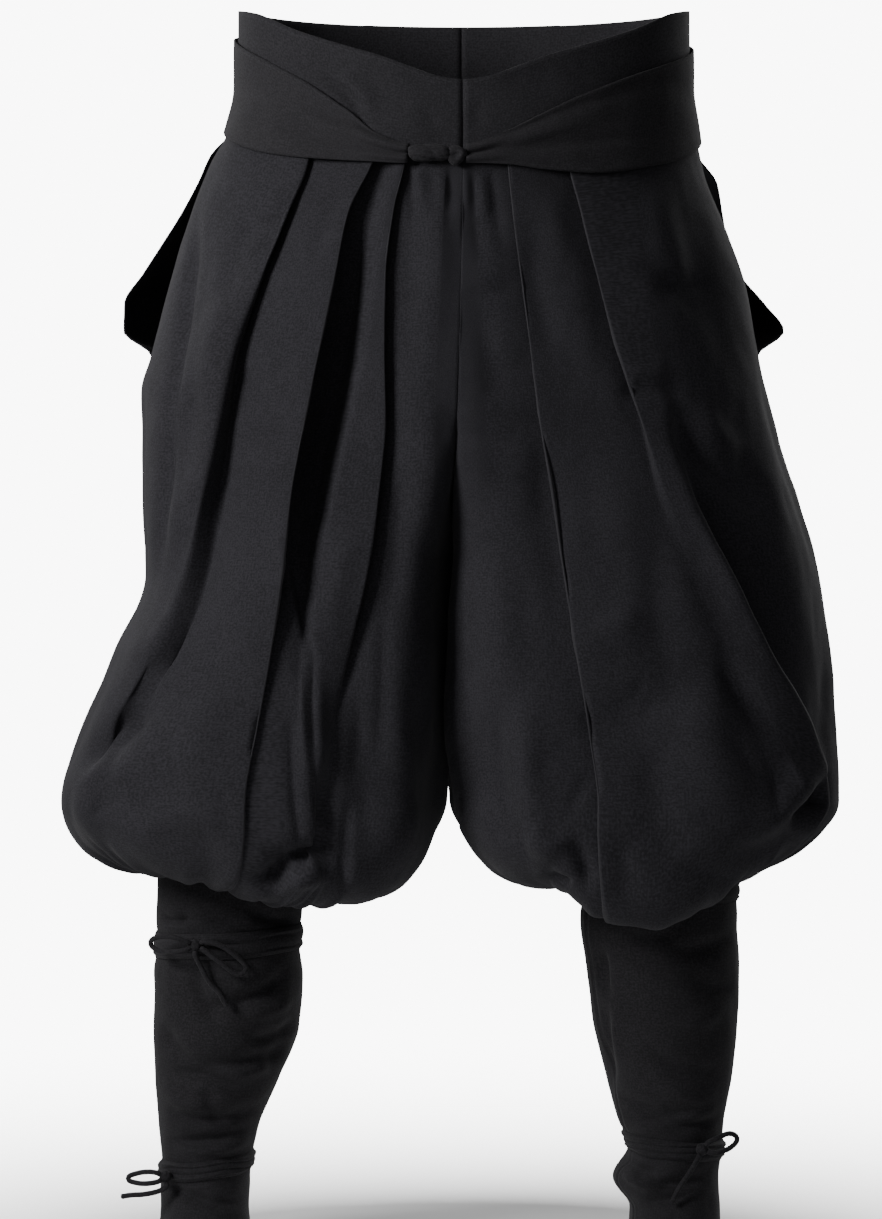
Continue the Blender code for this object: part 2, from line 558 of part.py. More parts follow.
def blouse_point(leg, face, step, share, depth):
    """Point of a panel's wall below the fullest level, drawn in to the lower leg."""
    shin = SHINS[leg]
    clear = 2 * SEAM + CLOTH / 2
    angle = pi * share
    middle = read(shin["middle"], GATHER)
    across = middle + (read(shin["wide"], GATHER) + clear) * cos(angle)
    out = SEAM + (read(shin["deep"], GATHER) + clear) * sin(angle)
    ring = Vector((SIGN[leg] * across, -out if face == "front" else out, 0.0))
    wall = panel_point(leg, face, FULLEST, share, depth)
    drop = sin(step * pi / 2)
    sag = read(SAGS[leg + "_back" if face == "back" else leg], share) * sin(pi * step)
    point = wall.lerp(ring, 1 - cos(step * pi / 2))
    point.z = FULLEST + (GATHER - FULLEST) * drop - sag
    return point


def panel_rows(leg, face):
    """Rows of points of a panel's wall, from its top to its gathered end."""
    folds = PANELS[leg, face][2]
    rows = []
    for level in WALL_LEVELS if face == "front" else BACK_LEVELS:
        length = hull_arc(leg, face, round(level, 4))[0][-1]
        stations = rounded(fold_knots(leg, face, level), length, folds)
        rows.append([panel_point(leg, face, level, share, depth) for share, depth in stations])
    knots = fold_knots(leg, face, FULLEST)
    for step in BLOUSE_STEPS:
        length = hull_arc(leg, face, FULLEST)[0][-1] * (1 - DRAWN_IN * step)
        stations = rounded(open_knots(knots, step), length, folds)
        last = len(stations) - 1
        even = step ** 3
        rows.append([blouse_point(leg, face, step, share + (i / last - share) * even, depth)
                     for i, (share, depth) in enumerate(stations)])
    return rows


def shin_point(leg, z, angle, lift):
    """Point of a lower leg's ring; the angle counts from the outer side over the front."""
    shin = SHINS[leg]
    across = read(shin["middle"], z) + (read(shin["wide"], z) + lift) * cos(angle)
    y = read(shin["behind"], z) - (read(shin["deep"], z) + lift) * sin(angle)
    return Vector((SIGN[leg] * across, y, z))


def waist_point(turn, z, lift):
    """Point of the waist's ring; the turn counts quarters from the centre front, to the
    wearer's left if it is positive."""
    leg = "left" if turn >= 0 else "right"
    angle = abs(turn) * pi / 2
    face = "front" if abs(turn) <= 1 else "back"
    hull = HULLS[leg]
    side = read(hull["side"], z)
    full = read(hull["full"], z)
    across = side * sin(angle)
    rounding = hull_rounding(z)
    past = max(across - full, 0.0) / (side - full)
    out = read(hull[face], z) * sin(acos(min(past ** (1 / rounding), 1.0))) ** rounding
    forward = out + lift * abs(cos(angle))
    y = -forward if face == "front" else forward
    return Vector((SIGN[leg] * (across + lift * sin(angle)), y, z))


def material(name, colour, roughness):
    made = bpy.data.materials.new(name)
    made.use_nodes = True
    shader = made.node_tree.nodes["Principled BSDF"]
    shader.inputs["Base Color"].default_value = (*colour, 1.0)
    shader.inputs["Roughness"].default_value = roughness
    shader.inputs["Metallic"].default_value = 0.0
    return made


def show(name, data, colour):
    """Link an object of its own material."""
    made = bpy.data.objects.new(name, data)
    bpy.context.scene.collection.objects.link(made)
    data.materials.append(material(name, colour, 0.85))
    return made


def grid_mesh(name, rows, closed=False):
    """A grid of faces through rows of points; a closed one joins its last column to its first."""
    across = len(rows[0]) - 1
    down = len(rows) - 1
    grid = bmesh.new()
    bmesh.ops.create_grid(grid, x_segments=across, y_segments=down, size=0.5)
    for vert in grid.verts:
        column = round((vert.co.x + 0.5) * across)
        row = round((vert.co.y + 0.5) * down)
        vert.co = rows[row][column]
    if closed:
        bmesh.ops.remove_doubles(grid, verts=grid.verts, dist=0.00001)
        bmesh.ops.recalc_face_normals(grid, faces=grid.faces)
    mesh = bpy.data.meshes.new(name)
    grid.to_mesh(mesh)
    grid.free()
    mesh.shade_smooth()
    return mesh


def sheet(name, rows, thickness, colour, closed=False):
    """A wall of even thickness about a grid of points."""
    made = show(name, grid_mesh(name, rows, closed), colour)
    wall = made.modifiers.new("wall", "SOLIDIFY")
    wall.thickness = thickness
    wall.offset = 0.0
    wall.use_even_offset = False
    return made


def seam_column(leg, face):
    """Column of a panel's rows where its two widths of cloth meet, in the middle of a stretch."""
    column = 3
    for name, reach, runs in PANELS[leg, face][2]:
        if name == WIDTH_SEAMS[leg, face]:
            return column + runs // 2
        column += runs + 2
    return column


def short_of(point, towards):
    """The point moved half a seam's gap towards its neighbour."""
    return point + (towards - point).normalized() * SEAM / 2


def panels():
    for leg in ("right", "left"):
        for face in ("front", "back"):
            rows = panel_rows(leg, face)
            seam = seam_column(leg, face)
            side = [row[:seam] + [short_of(row[seam], row[seam - 1])] for row in rows]
            centre = [[short_of(row[seam], row[seam + 1])] + row[seam + 1:] for row in rows]
            sheet(f"{face}_{leg}_side", side, CLOTH, PANEL_COLOUR)
            sheet(f"{face}_{leg}_centre", centre, CLOTH, PANEL_COLOUR)


def shins():
    for leg, heights in (("right", RIGHT_SHIN_LEVELS), ("left", LEFT_SHIN_LEVELS)):
        rows = []
        for z in heights:
            angles = [2 * pi * side / SHIN_SIDES for side in range(SHIN_SIDES)]
            ring = [shin_point(leg, z, angle, 0.0) for angle in angles]
            rows.append(ring + ring[:1])
        sheet(f"shin_{leg}", rows, CLOTH, SHIN_COLOUR, closed=True)


def waistbands():
    tops = columns_of(BAND_COLUMNS, BAND_EDGES)["top"]
    for leg in ("right", "left"):
        clear = SEAM / 2 / WAIST_HALF
        shares = [clear + (2 - 2 * clear) * i / (RING_COLUMNS // 2)
                  for i in range(RING_COLUMNS // 2 + 1)]
        rows = []
        for down in BAND_ROWS:
            row = []
            for share in shares:
                bottom = panel_top(min(share, 1.0)) + BAND_GAP
                top = read(tops, share)
                row.append(waist_point(SIGN[leg] * share, top + (bottom - top) * down, 0.0))
            rows.append(row)
        sheet(f"waistband_{leg}", rows, BAND, BAND_COLOUR)


def board_share(z):
    """Half width of the back board at a height, as a share of the way to the side."""
    up = (z - BOARD_BOTTOM) / (BOARD_TOP - BOARD_BOTTOM)
    return BOARD_WIDE_BELOW + (BOARD_WIDE_ABOVE - BOARD_WIDE_BELOW) * up


def waist_ties():
    for leg, edges in (("right", RIGHT_TIE), ("left", LEFT_TIE)):
        table = columns_of(TIE_COLUMNS, edges)
        start, end = edges[0][0], edges[-1][0]
        rows = []
        for down in range(TIE_ROWS + 1):
            row = []
            for i in range(TIE_STEPS + 1):
                share = start + (end - start) * i / TIE_STEPS
                top = read(table["top"], share)
                z = top + (read(table["bottom"], share) - top) * down / TIE_ROWS
                reach = 2 - board_share(z) - BOARD_GAP
                wave = 1 - cos(2 * pi * TIE_RIDGES * down / TIE_ROWS)
                lift = TIE_LIFT + read(table["crumple"], share) * wave / 2
                place = start + (reach - start) * i / TIE_STEPS
                row.append(waist_point(SIGN[leg] * place, z, lift))
            rows.append(row)
        sheet(f"tie_{leg}", rows, TIE, TIE_COLOUR)


def back_board():
    rows = []
    for up in range(BOARD_ROWS + 1):
        z = BOARD_TOP + (BOARD_BOTTOM - BOARD_TOP) * up / BOARD_ROWS
        half = board_share(z)
        row = []
        for i in range(BOARD_STEPS + 1):
            share = 2 - half + 2 * half * i / BOARD_STEPS
            turn = share if share <= 2 else share - 4
            row.append(waist_point(turn, z, BOARD_LIFT))
        rows.append(row)
    sheet("back_board", rows, BOARD, BAND_COLOUR)


def lump(name, middle, size, colour, squareness=1.0):
    """A knot as a rounded lump; a squareness below 1 fills it out to a roll along X."""
    ball = bmesh.new()
    bmesh.ops.create_uvsphere(ball, u_segments=LUMP_SIDES, v_segments=LUMP_RINGS, radius=1.0)
    bmesh.ops.rotate(ball, verts=ball.verts, matrix=Matrix.Rotation(pi / 2, 3, "Y"))
    for vert in ball.verts:
        along = vert.co.x
        ring = hypot(vert.co.y, vert.co.z)
        if 1e-4 < ring < 1:
            fuller = ring ** squareness / ring
            vert.co.y *= fuller
            vert.co.z *= fuller
        vert.co.x = along * size[0] / 2
        vert.co.y *= size[1] / 2
        vert.co.z *= size[2] / 2
    mesh = bpy.data.meshes.new(name)
    ball.to_mesh(mesh)
    ball.free()
    mesh.shade_smooth()
    made = show(name, mesh, colour)
    made.location = middle
    return made


def wrap(name, leg, z, half, colour):
    """A flat tie wound round a lower leg, as a closed ring with two ridges."""
    low = 2 * SEAM + CLOTH / 2
    section = ((half, low), (half, low + 0.6 * WRAP_THICK), (0.5 * half, low + WRAP_THICK),
               (0.0, low + 0.65 * WRAP_THICK), (-0.5 * half, low + WRAP_THICK),
               (-half, low + 0.6 * WRAP_THICK), (-half, low), (0.0, low), (half, low))
    rows = []
    for up, lift in section:
        angles = [2 * pi * side / SHIN_SIDES for side in range(SHIN_SIDES)]
        ring = [shin_point(leg, z + up, angle, lift) for angle in angles]
        rows.append(ring + ring[:1])
    show(name, grid_mesh(name, rows, closed=True), colour)


def smooth_route(points):
    """Points of a smooth curve through a route's own points."""
    route = []
    for i in range(len(points) - 1):
        before = points[max(i - 1, 0)]
        after = points[min(i + 2, len(points) - 1)]
        run = (points[i + 1] - points[i]).length
        start_pull = (points[i + 1] - before).normalized() * run
        end_pull = (after - points[i]).normalized() * run
        for step in range(CORD_STEPS):
            t = step / CORD_STEPS
            route.append(points[i] * (1 + 2 * t) * (1 - t) ** 2 + start_pull * t * (1 - t) ** 2
                         + points[i + 1] * t * t * (3 - 2 * t) - end_pull * t * t * (1 - t))
    route.append(points[-1])
    return route


def cord(name, knot, offsets):
    """A tie's cord from its knot, by offsets to the right, forwards and up."""
    offsets = [Vector((right, -forwards, up)) for right, forwards, up in offsets]
    clear = SMALL_KNOT + SEAM
    offsets[0] = offsets[0].normalized() * clear
    offsets.insert(1, offsets[0] * (1 + CORD_LEAD / clear))
    if offsets[-1].length < 2 * SMALL_KNOT:
        offsets[-1] = offsets[-1].normalized() * clear
        offsets.insert(-1, offsets[-1] * (1 + CORD_LEAD / clear))
    points = [Vector(knot) + offset for offset in offsets]
    curve = bpy.data.curves.new(name, "CURVE")
    curve.dimensions = "3D"
    curve.bevel_depth = CORD / 2
    curve.bevel_resolution = 2
    curve.use_fill_caps = True
    spline = curve.splines.new("POLY")
    route = smooth_route(points)
    spline.points.add(len(route) - 1)
    for place, point in zip(spline.points, route):
        place.co = (*point, 1.0)
    show(name, curve, SHIN_COLOUR)


def leg_ties():
    small = (2 * SMALL_KNOT,) * 3
    wrap("knee_tie_right", "right", KNEE_Z["right"], KNEE_HALF["right"], SHIN_COLOUR)
    wrap("knee_tie_left", "left", KNEE_Z["left"], KNEE_HALF["left"], SHIN_COLOUR)
    wrap("ankle_tie_right", "right", ANKLE_RIGHT_Z, ANKLE_HALF, SHIN_COLOUR)
    wrap("ankle_tie_left", "left", ANKLE_LEFT_Z, ANKLE_HALF, SHIN_COLOUR)
    lump("knee_knot_right", KNEE_KNOT, small, SHIN_COLOUR)
    lump("ankle_knot_right", ANKLE_KNOT_RIGHT, small, SHIN_COLOUR)
    lump("ankle_knot_left", ANKLE_KNOT_LEFT, small, SHIN_COLOUR)
    cord("knee_loop_outer", KNEE_KNOT, KNEE_LOOP_OUTER)
    cord("knee_loop_inner", KNEE_KNOT, KNEE_LOOP_INNER)
    cord("knee_tail", KNEE_KNOT, KNEE_TAIL)
    cord("ankle_loop_right", ANKLE_KNOT_RIGHT, ANKLE_LOOP_RIGHT)
    cord("ankle_tail_right", ANKLE_KNOT_RIGHT, ANKLE_TAIL_RIGHT)
    cord("ankle_loop_left", ANKLE_KNOT_LEFT, ANKLE_LOOP_LEFT)
    cord("ankle_tail_left", ANKLE_KNOT_LEFT, ANKLE_TAIL_LEFT)


def main():
    for old in list(bpy.data.objects):
        bpy.data.objects.remove(old)
    panels()
    waistbands()
    back_board()
    waist_ties()
    lump("waist_knot", KNOT_MIDDLE, KNOT_SIZE, TIE_COLOUR, KNOT_SQUARENESS)
    lump("waist_knot_tip", TIP_MIDDLE, TIP_SIZE, TIE_COLOUR)
    shins()
    leg_ties()


main()
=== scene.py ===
import bisect
from functools import cache
from math import acos, asin, atan2, cos, exp, hypot, pi, sin

import bmesh
import bpy
from mathutils import Matrix, Vector, noise


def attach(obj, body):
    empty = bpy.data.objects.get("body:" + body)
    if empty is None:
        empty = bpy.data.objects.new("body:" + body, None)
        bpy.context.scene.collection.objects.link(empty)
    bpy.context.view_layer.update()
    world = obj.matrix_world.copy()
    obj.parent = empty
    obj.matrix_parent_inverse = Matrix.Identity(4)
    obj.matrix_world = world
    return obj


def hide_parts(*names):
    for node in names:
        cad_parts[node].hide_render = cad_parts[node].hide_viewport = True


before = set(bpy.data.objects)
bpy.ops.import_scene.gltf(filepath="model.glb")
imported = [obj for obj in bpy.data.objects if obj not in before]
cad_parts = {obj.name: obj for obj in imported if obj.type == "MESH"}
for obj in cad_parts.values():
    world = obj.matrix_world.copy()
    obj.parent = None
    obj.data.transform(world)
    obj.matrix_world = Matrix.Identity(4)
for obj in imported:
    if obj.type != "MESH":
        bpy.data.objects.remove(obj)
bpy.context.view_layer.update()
print("packed model loaded")

signOf = {"right": -1, "left": 1}

# Camera: level, straight in front, at the distance that was assumed for the photograph
cameraPlace = {"middle": (-0.0168, -3.6, -0.4072), "lens": 132.9, "sensor": 36.0}


def addCamera():
    lens = bpy.data.cameras.new("photoCamera")
    lens.lens = cameraPlace["lens"]
    lens.sensor_width = cameraPlace["sensor"]
    camera = bpy.data.objects.new("photoCamera", lens)
    camera.location = cameraPlace["middle"]
    camera.rotation_euler = (pi / 2, 0, 0)
    bpy.context.scene.collection.objects.link(camera)
    bpy.context.scene.camera = camera


# Node groups: cloth effects that several finishes share
weaveLook = {"stretch": 0.12, "threads": 900.0, "grain": 620.0, "threadShare": 0.22,
             "grainShare": 0.56, "crossingShare": 0.25}
fadeLook = {"middle": 38.0, "fine": 160.0, "broadShare": 0.45, "middleShare": 0.35,
            "fineShare": 0.20, "fineCrumple": 0.35}
stitchLook = {"half": 0.00045, "dash": 0.62, "shown": 0.55, "sunk": -0.0003}


def newGroup(name, inputs, outputs):
    group = bpy.data.node_groups.new(name, "ShaderNodeTree")
    for label, kind, value in inputs:
        socket = group.interface.new_socket(label, in_out="INPUT", socket_type=kind)
        socket.default_value = value
    for label, kind in outputs:
        group.interface.new_socket(label, in_out="OUTPUT", socket_type=kind)
    return group, group.nodes.new("NodeGroupInput"), group.nodes.new("NodeGroupOutput")


def feed(tree, socket, value):
    if isinstance(value, bpy.types.NodeSocket):
        tree.links.new(value, socket)
    else:
        socket.default_value = value


def setInputs(node, **values):
    # the labels' spaces are written as underscores
    for label, value in values.items():
        node.inputs[label.replace("_", " ")].default_value = value


def mathNode(tree, operation, *values):
    node = tree.nodes.new("ShaderNodeMath")
    node.operation = operation
    for socket, value in zip(node.inputs, values):
        feed(tree, socket, value)
    return node.outputs[0]


def noiseNode(tree, vector, scale, detail):
    node = tree.nodes.new("ShaderNodeTexNoise")
    node.inputs["Detail"].default_value = detail
    feed(tree, node.inputs["Vector"], vector)
    feed(tree, node.inputs["Scale"], scale)
    return node.outputs["Fac"]


def stretched(tree, vector, across, along):
    node = tree.nodes.new("ShaderNodeVectorMath")
    node.operation = "MULTIPLY"
    feed(tree, node.inputs[0], vector)
    node.inputs[1].default_value = (across, along, 1.0)
    return node.outputs[0]


def buildWeaveGroup():
    # plain weave in the cloth's own metres, with thicker threads both ways
    group, start, end = newGroup(
        "clothWeave",
        [("Vector", "NodeSocketVector", (0, 0, 0)), ("Thread", "NodeSocketFloat", 0.0007)],
        [("Height", "NodeSocketFloat"), ("Thicker", "NodeSocketFloat")])
    vector = start.outputs["Vector"]
    split = group.nodes.new("ShaderNodeSeparateXYZ")
    group.links.new(vector, split.inputs[0])
    turns = mathNode(group, "DIVIDE", 2 * pi, start.outputs["Thread"])
    warp = mathNode(group, "SINE", mathNode(group, "MULTIPLY", split.outputs["X"], turns))
    weft = mathNode(group, "SINE", mathNode(group, "MULTIPLY", split.outputs["Y"], turns))
    crossing = mathNode(group, "MULTIPLY", warp, weft)
    warpWise = stretched(group, vector, 1.0, weaveLook["stretch"])
    weftWise = stretched(group, vector, weaveLook["stretch"], 1.0)
    both = mathNode(group, "ADD", noiseNode(group, warpWise, weaveLook["threads"], 1.0),
                    noiseNode(group, weftWise, weaveLook["threads"], 1.0))
    grain = noiseNode(group, vector, weaveLook["grain"], 1.0)
    thicker = mathNode(group, "MULTIPLY", both, weaveLook["threadShare"])
    thicker = mathNode(group, "MULTIPLY_ADD", grain, weaveLook["grainShare"], thicker)
    height = mathNode(group, "MULTIPLY_ADD", crossing, weaveLook["crossingShare"], thicker)
    group.links.new(height, end.inputs["Height"])
    group.links.new(thicker, end.inputs["Thicker"])
    return group


def buildWearGroup():
    # uneven fading of dyed cotton: broad patches, hand-sized ones and a fine bloom
    group, start, end = newGroup(
        "clothFading",
        [("Vector", "NodeSocketVector", (0, 0, 0)), ("Patch", "NodeSocketFloat", 9.0)],
        [("Fade", "NodeSocketFloat"), ("Crumple", "NodeSocketFloat")])
    vector = start.outputs["Vector"]
    broad = noiseNode(group, vector, start.outputs["Patch"], 2.0)
    middle = noiseNode(group, vector, fadeLook["middle"], 3.0)
    fine = noiseNode(group, vector, fadeLook["fine"], 2.0)
    fade = mathNode(group, "MULTIPLY", broad, fadeLook["broadShare"])
    fade = mathNode(group, "MULTIPLY_ADD", middle, fadeLook["middleShare"], fade)
    fade = mathNode(group, "MULTIPLY_ADD", fine, fadeLook["fineShare"], fade)
    crumple = mathNode(group, "MULTIPLY_ADD", fine, fadeLook["fineCrumple"], middle)
    group.links.new(fade, end.inputs["Fade"])
    group.links.new(crumple, end.inputs["Crumple"])
    return group


def buildStitchGroup():
    # one row of stitches beside an edge, where the cloth's U is the distance from that edge
    group, start, end = newGroup(
        "stitchRow",
        [("Away", "NodeSocketFloat", 0.0), ("Along", "NodeSocketFloat", 0.0),
         ("Row", "NodeSocketFloat", 0.006), ("Stitch", "NodeSocketFloat", 0.0045)],
        [("Stitches", "NodeSocketFloat")])
    away, along, row, stitch = start.outputs[:4]
    off = mathNode(group, "ABSOLUTE", mathNode(group, "SUBTRACT", away, row))
    line = mathNode(group, "LESS_THAN", off, stitchLook["half"])
    part = mathNode(group, "FRACT", mathNode(group, "DIVIDE", along, stitch))
    dash = mathNode(group, "LESS_THAN", part, stitchLook["dash"])
    group.links.new(mathNode(group, "MULTIPLY", line, dash), end.inputs["Stitches"])
    return group


weaveGroup = buildWeaveGroup()
wearGroup = buildWearGroup()
stitchGroup = buildStitchGroup()

# Finishes: dark and light of the dyed cotton, the pale colour of rubbed wear and painted highlight along
# pressed edges, which the stitches share, thread pitch, how deep the weave and crumples go
finishes = {
    "panelCotton": {"dark": (0.0186, 0.0178, 0.0212), "light": (0.0362, 0.0344, 0.0412),
                    "edgeWearAndHighlight": (0.0440, 0.0425, 0.0480), "thread": 0.0007, "weave": 0.00014,
                    "crumple": 0.00042, "patch": 9.0, "row": 0.0070, "across": True},
    "bandCotton": {"dark": (0.0188, 0.0179, 0.0206), "light": (0.0345, 0.0328, 0.0378),
                   "edgeWearAndHighlight": (0.0425, 0.0405, 0.0460), "thread": 0.0007, "weave": 0.00012,
                   "crumple": 0.00050, "patch": 14.0, "row": 0.0032, "across": False},
    "tieCotton": {"dark": (0.0190, 0.0179, 0.0203), "light": (0.0340, 0.0322, 0.0364),
                  "edgeWearAndHighlight": (0.0425, 0.0402, 0.0450), "thread": 0.0007, "weave": 0.00012,
                  "crumple": 0.00055, "patch": 14.0, "row": 0.0030, "across": False},
    "lowerLegCotton": {"dark": (0.0118, 0.0111, 0.0128), "light": (0.0245, 0.0230, 0.0263),
                       "edgeWearAndHighlight": (0.0450, 0.0420, 0.0450), "thread": 0.0006, "weave": 0.00010,
                       "crumple": 0.00080, "patch": 12.0, "row": 0.0050, "across": True},
}
clothLook = {"roughness": 0.94, "worn": -0.12, "sheen": 0.05, "sheenRoughness": 0.45, "specular": 0.25,
             "bump": 0.8, "fade": (1.3, -0.20), "threads": (5.0, -2.5)}


def groupNode(tree, group, **values):
    node = tree.nodes.new("ShaderNodeGroup")
    node.node_tree = group
    for label, value in values.items():
        feed(tree, node.inputs[label], value)
    return node


def mixed(tree, amount, low, high):
    node = tree.nodes.new("ShaderNodeMix")
    node.data_type = "RGBA"
    feed(tree, node.inputs[0], amount)
    for socket, value in ((node.inputs[6], low), (node.inputs[7], high)):
        feed(tree, socket, value if isinstance(value, bpy.types.NodeSocket) else (*value, 1.0))
    return node.outputs[2]


def clothFinish(name, onCloth=True):
    look = finishes[name]
    finish = bpy.data.materials.new(name if onCloth else name + "Plain")
    finish.use_nodes = True
    tree = finish.node_tree
    shader = tree.nodes["Principled BSDF"]
    place = tree.nodes.new("ShaderNodeTexCoord").outputs["Object"]
    cloth = place
    if onCloth:
        uvNode = tree.nodes.new("ShaderNodeUVMap")
        uvNode.uv_map = "cloth"
        cloth = uvNode.outputs["UV"]
    weave = groupNode(tree, weaveGroup, Vector=cloth, Thread=look["thread"])
    wear = groupNode(tree, wearGroup, Vector=place, Patch=look["patch"])
    fade = mathNode(tree, "MULTIPLY_ADD", wear.outputs["Fade"], *clothLook["fade"])
    threads = mathNode(tree, "MULTIPLY_ADD", weave.outputs["Thicker"], *clothLook["threads"])
    shade = mathNode(tree, "ADD", fade, threads)
    colour = mixed(tree, shade, look["dark"], look["light"])
    height = mathNode(tree, "MULTIPLY", weave.outputs["Height"], look["weave"])
    height = mathNode(tree, "MULTIPLY_ADD", wear.outputs["Crumple"], look["crumple"], height)
    if onCloth:
        # pressed edges are lightened: partly rubbed wear, partly a painted highlight
        edgeWearAndHighlight = tree.nodes.new("ShaderNodeAttribute")
        edgeWearAndHighlight.attribute_name = "edgeWearAndHighlight"
        colour = mixed(tree, edgeWearAndHighlight.outputs["Fac"], colour, look["edgeWearAndHighlight"])
        split = tree.nodes.new("ShaderNodeSeparateXYZ")
        tree.links.new(cloth, split.inputs[0])
        away, along = split.outputs["X"], split.outputs["Y"]
        if not look["across"]:
            away, along = along, away
        # the stitches are real thread, drawn in the same pale colour
        stitches = groupNode(tree, stitchGroup, Away=away, Along=along, Row=look["row"]).outputs[0]
        colour = mixed(tree, mathNode(tree, "MULTIPLY", stitches, stitchLook["shown"]),
                       colour, look["edgeWearAndHighlight"])
        height = mathNode(tree, "MULTIPLY_ADD", stitches, stitchLook["sunk"], height)
    tree.links.new(colour, shader.inputs["Base Color"])
    rough = mathNode(tree, "MULTIPLY_ADD", wear.outputs["Fade"], clothLook["worn"],
                     clothLook["roughness"])
    tree.links.new(rough, shader.inputs["Roughness"])
    bump = tree.nodes.new("ShaderNodeBump")
    setInputs(bump, Strength=clothLook["bump"], Distance=1.0)
    tree.links.new(height, bump.inputs["Height"])
    tree.links.new(bump.outputs["Normal"], shader.inputs["Normal"])
    setInputs(shader, Metallic=0.0, Specular_IOR_Level=clothLook["specular"],
              Sheen_Weight=clothLook["sheen"], Sheen_Roughness=clothLook["sheenRoughness"])
    return finish


panelFinish = clothFinish("panelCotton")
bandFinish = clothFinish("bandCotton")
tieFinish = clothFinish("tieCotton")
tiePlainFinish = clothFinish("tieCotton", onCloth=False)
legFinish = clothFinish("lowerLegCotton")
cordFinish = clothFinish("lowerLegCotton", onCloth=False)
print("finishes made")


# Shared shaping tools
def metres(row):
    return [round(value / 1000, 8) for value in row]


def columnsOf(names, rows):
    # each column beside the first one, which gives the places
    columns = {}
    for name, column in zip(names, zip(*sorted(rows))):
        columns[name] = list(column) if name in ("along", "share") else metres(column)
    return {name: (columns[names[0]], column) for name, column in columns.items()}


def slopeAt(places, values, i):
    # no overshoot past a table's own rows
    if i == 0 or i == len(places) - 1:
        return 0.0
    before = (values[i] - values[i - 1]) / (places[i] - places[i - 1])
    after = (values[i + 1] - values[i]) / (places[i + 1] - places[i])
    if before * after <= 0:
        return 0.0
    return 2 * before * after / (before + after)


def readTable(column, place):
    places, values = column
    if place <= places[0]:
        return values[0]
    if place >= places[-1]:
        return values[-1]
    i = bisect.bisect_right(places, place) - 1
    run = places[i + 1] - places[i]
    t = (place - places[i]) / run
    start = slopeAt(places, values, i) * run
    end = slopeAt(places, values, i + 1) * run
    return (values[i] * (1 + 2 * t) * (1 - t) ** 2 + start * t * (1 - t) ** 2
            + values[i + 1] * t * t * (3 - 2 * t) - end * t * t * (1 - t))


def lineValue(places, values, place):
    if place <= places[0]:
        return values[0]
    if place >= places[-1]:
        return values[-1]
    i = bisect.bisect_right(places, place) - 1
    t = (place - places[i]) / (places[i + 1] - places[i])
    return values[i] + (values[i + 1] - values[i]) * t


def smoothStep(low, high, value):
    t = min(1.0, max(0.0, (value - low) / (high - low)))
    return t * t * (3 - 2 * t)


def addPiece(name, data, finish, nodes):
    piece = bpy.data.objects.new(name, data)
    bpy.context.scene.collection.objects.link(piece)
    data.materials.append(finish)
    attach(piece, "root")
    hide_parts(*nodes)
    return piece


def clothGrid(rows, marks=None):
    # a sheet through rows of points, with its own metres as UV and its pressed edges marked for rubbed wear
    # and a painted highlight
    across = len(rows[0]) - 1
    down = len(rows) - 1
    middleRow = rows[down // 2]
    sampled = (across // 4, across // 2, 3 * across // 4)
    widths = [0.0]
    for i in range(across):
        widths.append(widths[-1] + (middleRow[i + 1] - middleRow[i]).length)
    lengths = [0.0]
    for j in range(down):
        run = sum((rows[j + 1][i] - rows[j][i]).length for i in sampled)
        lengths.append(lengths[-1] + run / len(sampled))
    cloth = bmesh.new()
    bmesh.ops.create_grid(cloth, x_segments=across, y_segments=down, size=0.5)
    edgeWearAndHighlightLayer = cloth.verts.layers.float.new("edgeWearAndHighlight")
    uvLayer = cloth.loops.layers.uv.new("cloth")
    cloth.verts.index_update()
    own = {}
    for vert in cloth.verts:
        column = round((vert.co.x + 0.5) * across)
        row = round((vert.co.y + 0.5) * down)
        own[vert.index] = (row, column)
        vert.co = rows[row][column]
        if marks:
            vert[edgeWearAndHighlightLayer] = marks[row][column]
    for face in cloth.faces:
        for loop in face.loops:
            row, column = own[loop.vert.index]
            loop[uvLayer].uv = (widths[column], lengths[row])
    return cloth, own


def closeTube(cloth):
    bmesh.ops.remove_doubles(cloth, verts=cloth.verts, dist=0.00001)
    bmesh.ops.recalc_face_normals(cloth, faces=cloth.faces)


def finishMesh(name, cloth):
    mesh = bpy.data.meshes.new(name)
    cloth.to_mesh(mesh)
    cloth.free()
    mesh.shade_smooth()
    return mesh


def addWall(piece, thickness):
    wall = piece.modifiers.new("wall", "SOLIDIFY")
    wall.thickness = thickness
    wall.offset = 0.0
    wall.use_even_offset = False


# Along a stroke, counted from 0 to 1: where it swells, where it fades, and how far it is followed
strokeEnds = {"swells": (-0.20, 0.30), "fades": (0.62, 1.20), "over": 0.25, "halfWidths": 3}


def strokes(*rows):
    return [metres(row) for row in rows]


def creaseDepth(creases, x, z, gain=1.0):
    # soft troughs and ridges, listed one by one: from, to, bend, half width, depth
    total = 0.0
    over = strokeEnds["over"]
    for x0, z0, x1, z1, bend, width, depth in creases:
        runX, runZ = x1 - x0, z1 - z0
        size = hypot(runX, runZ)
        t = ((x - x0) * runX + (z - z0) * runZ) / (size * size)
        if not -over < t < 1 + over:
            continue
        off = ((x - x0) * runZ - (z - z0) * runX) / size - bend * 4 * t * (1 - t)
        if abs(off) > strokeEnds["halfWidths"] * width:
            continue
        taper = smoothStep(*strokeEnds["swells"], t) * (1 - smoothStep(*strokeEnds["fades"], t))
        total += depth * taper * exp(-(off / width) ** 2)
    return total * gain


unevenness = {"broad": 0.0012, "waves": 19.0, "fine": 0.00060, "fineAcross": 64.0, "fineDown": 40.0}


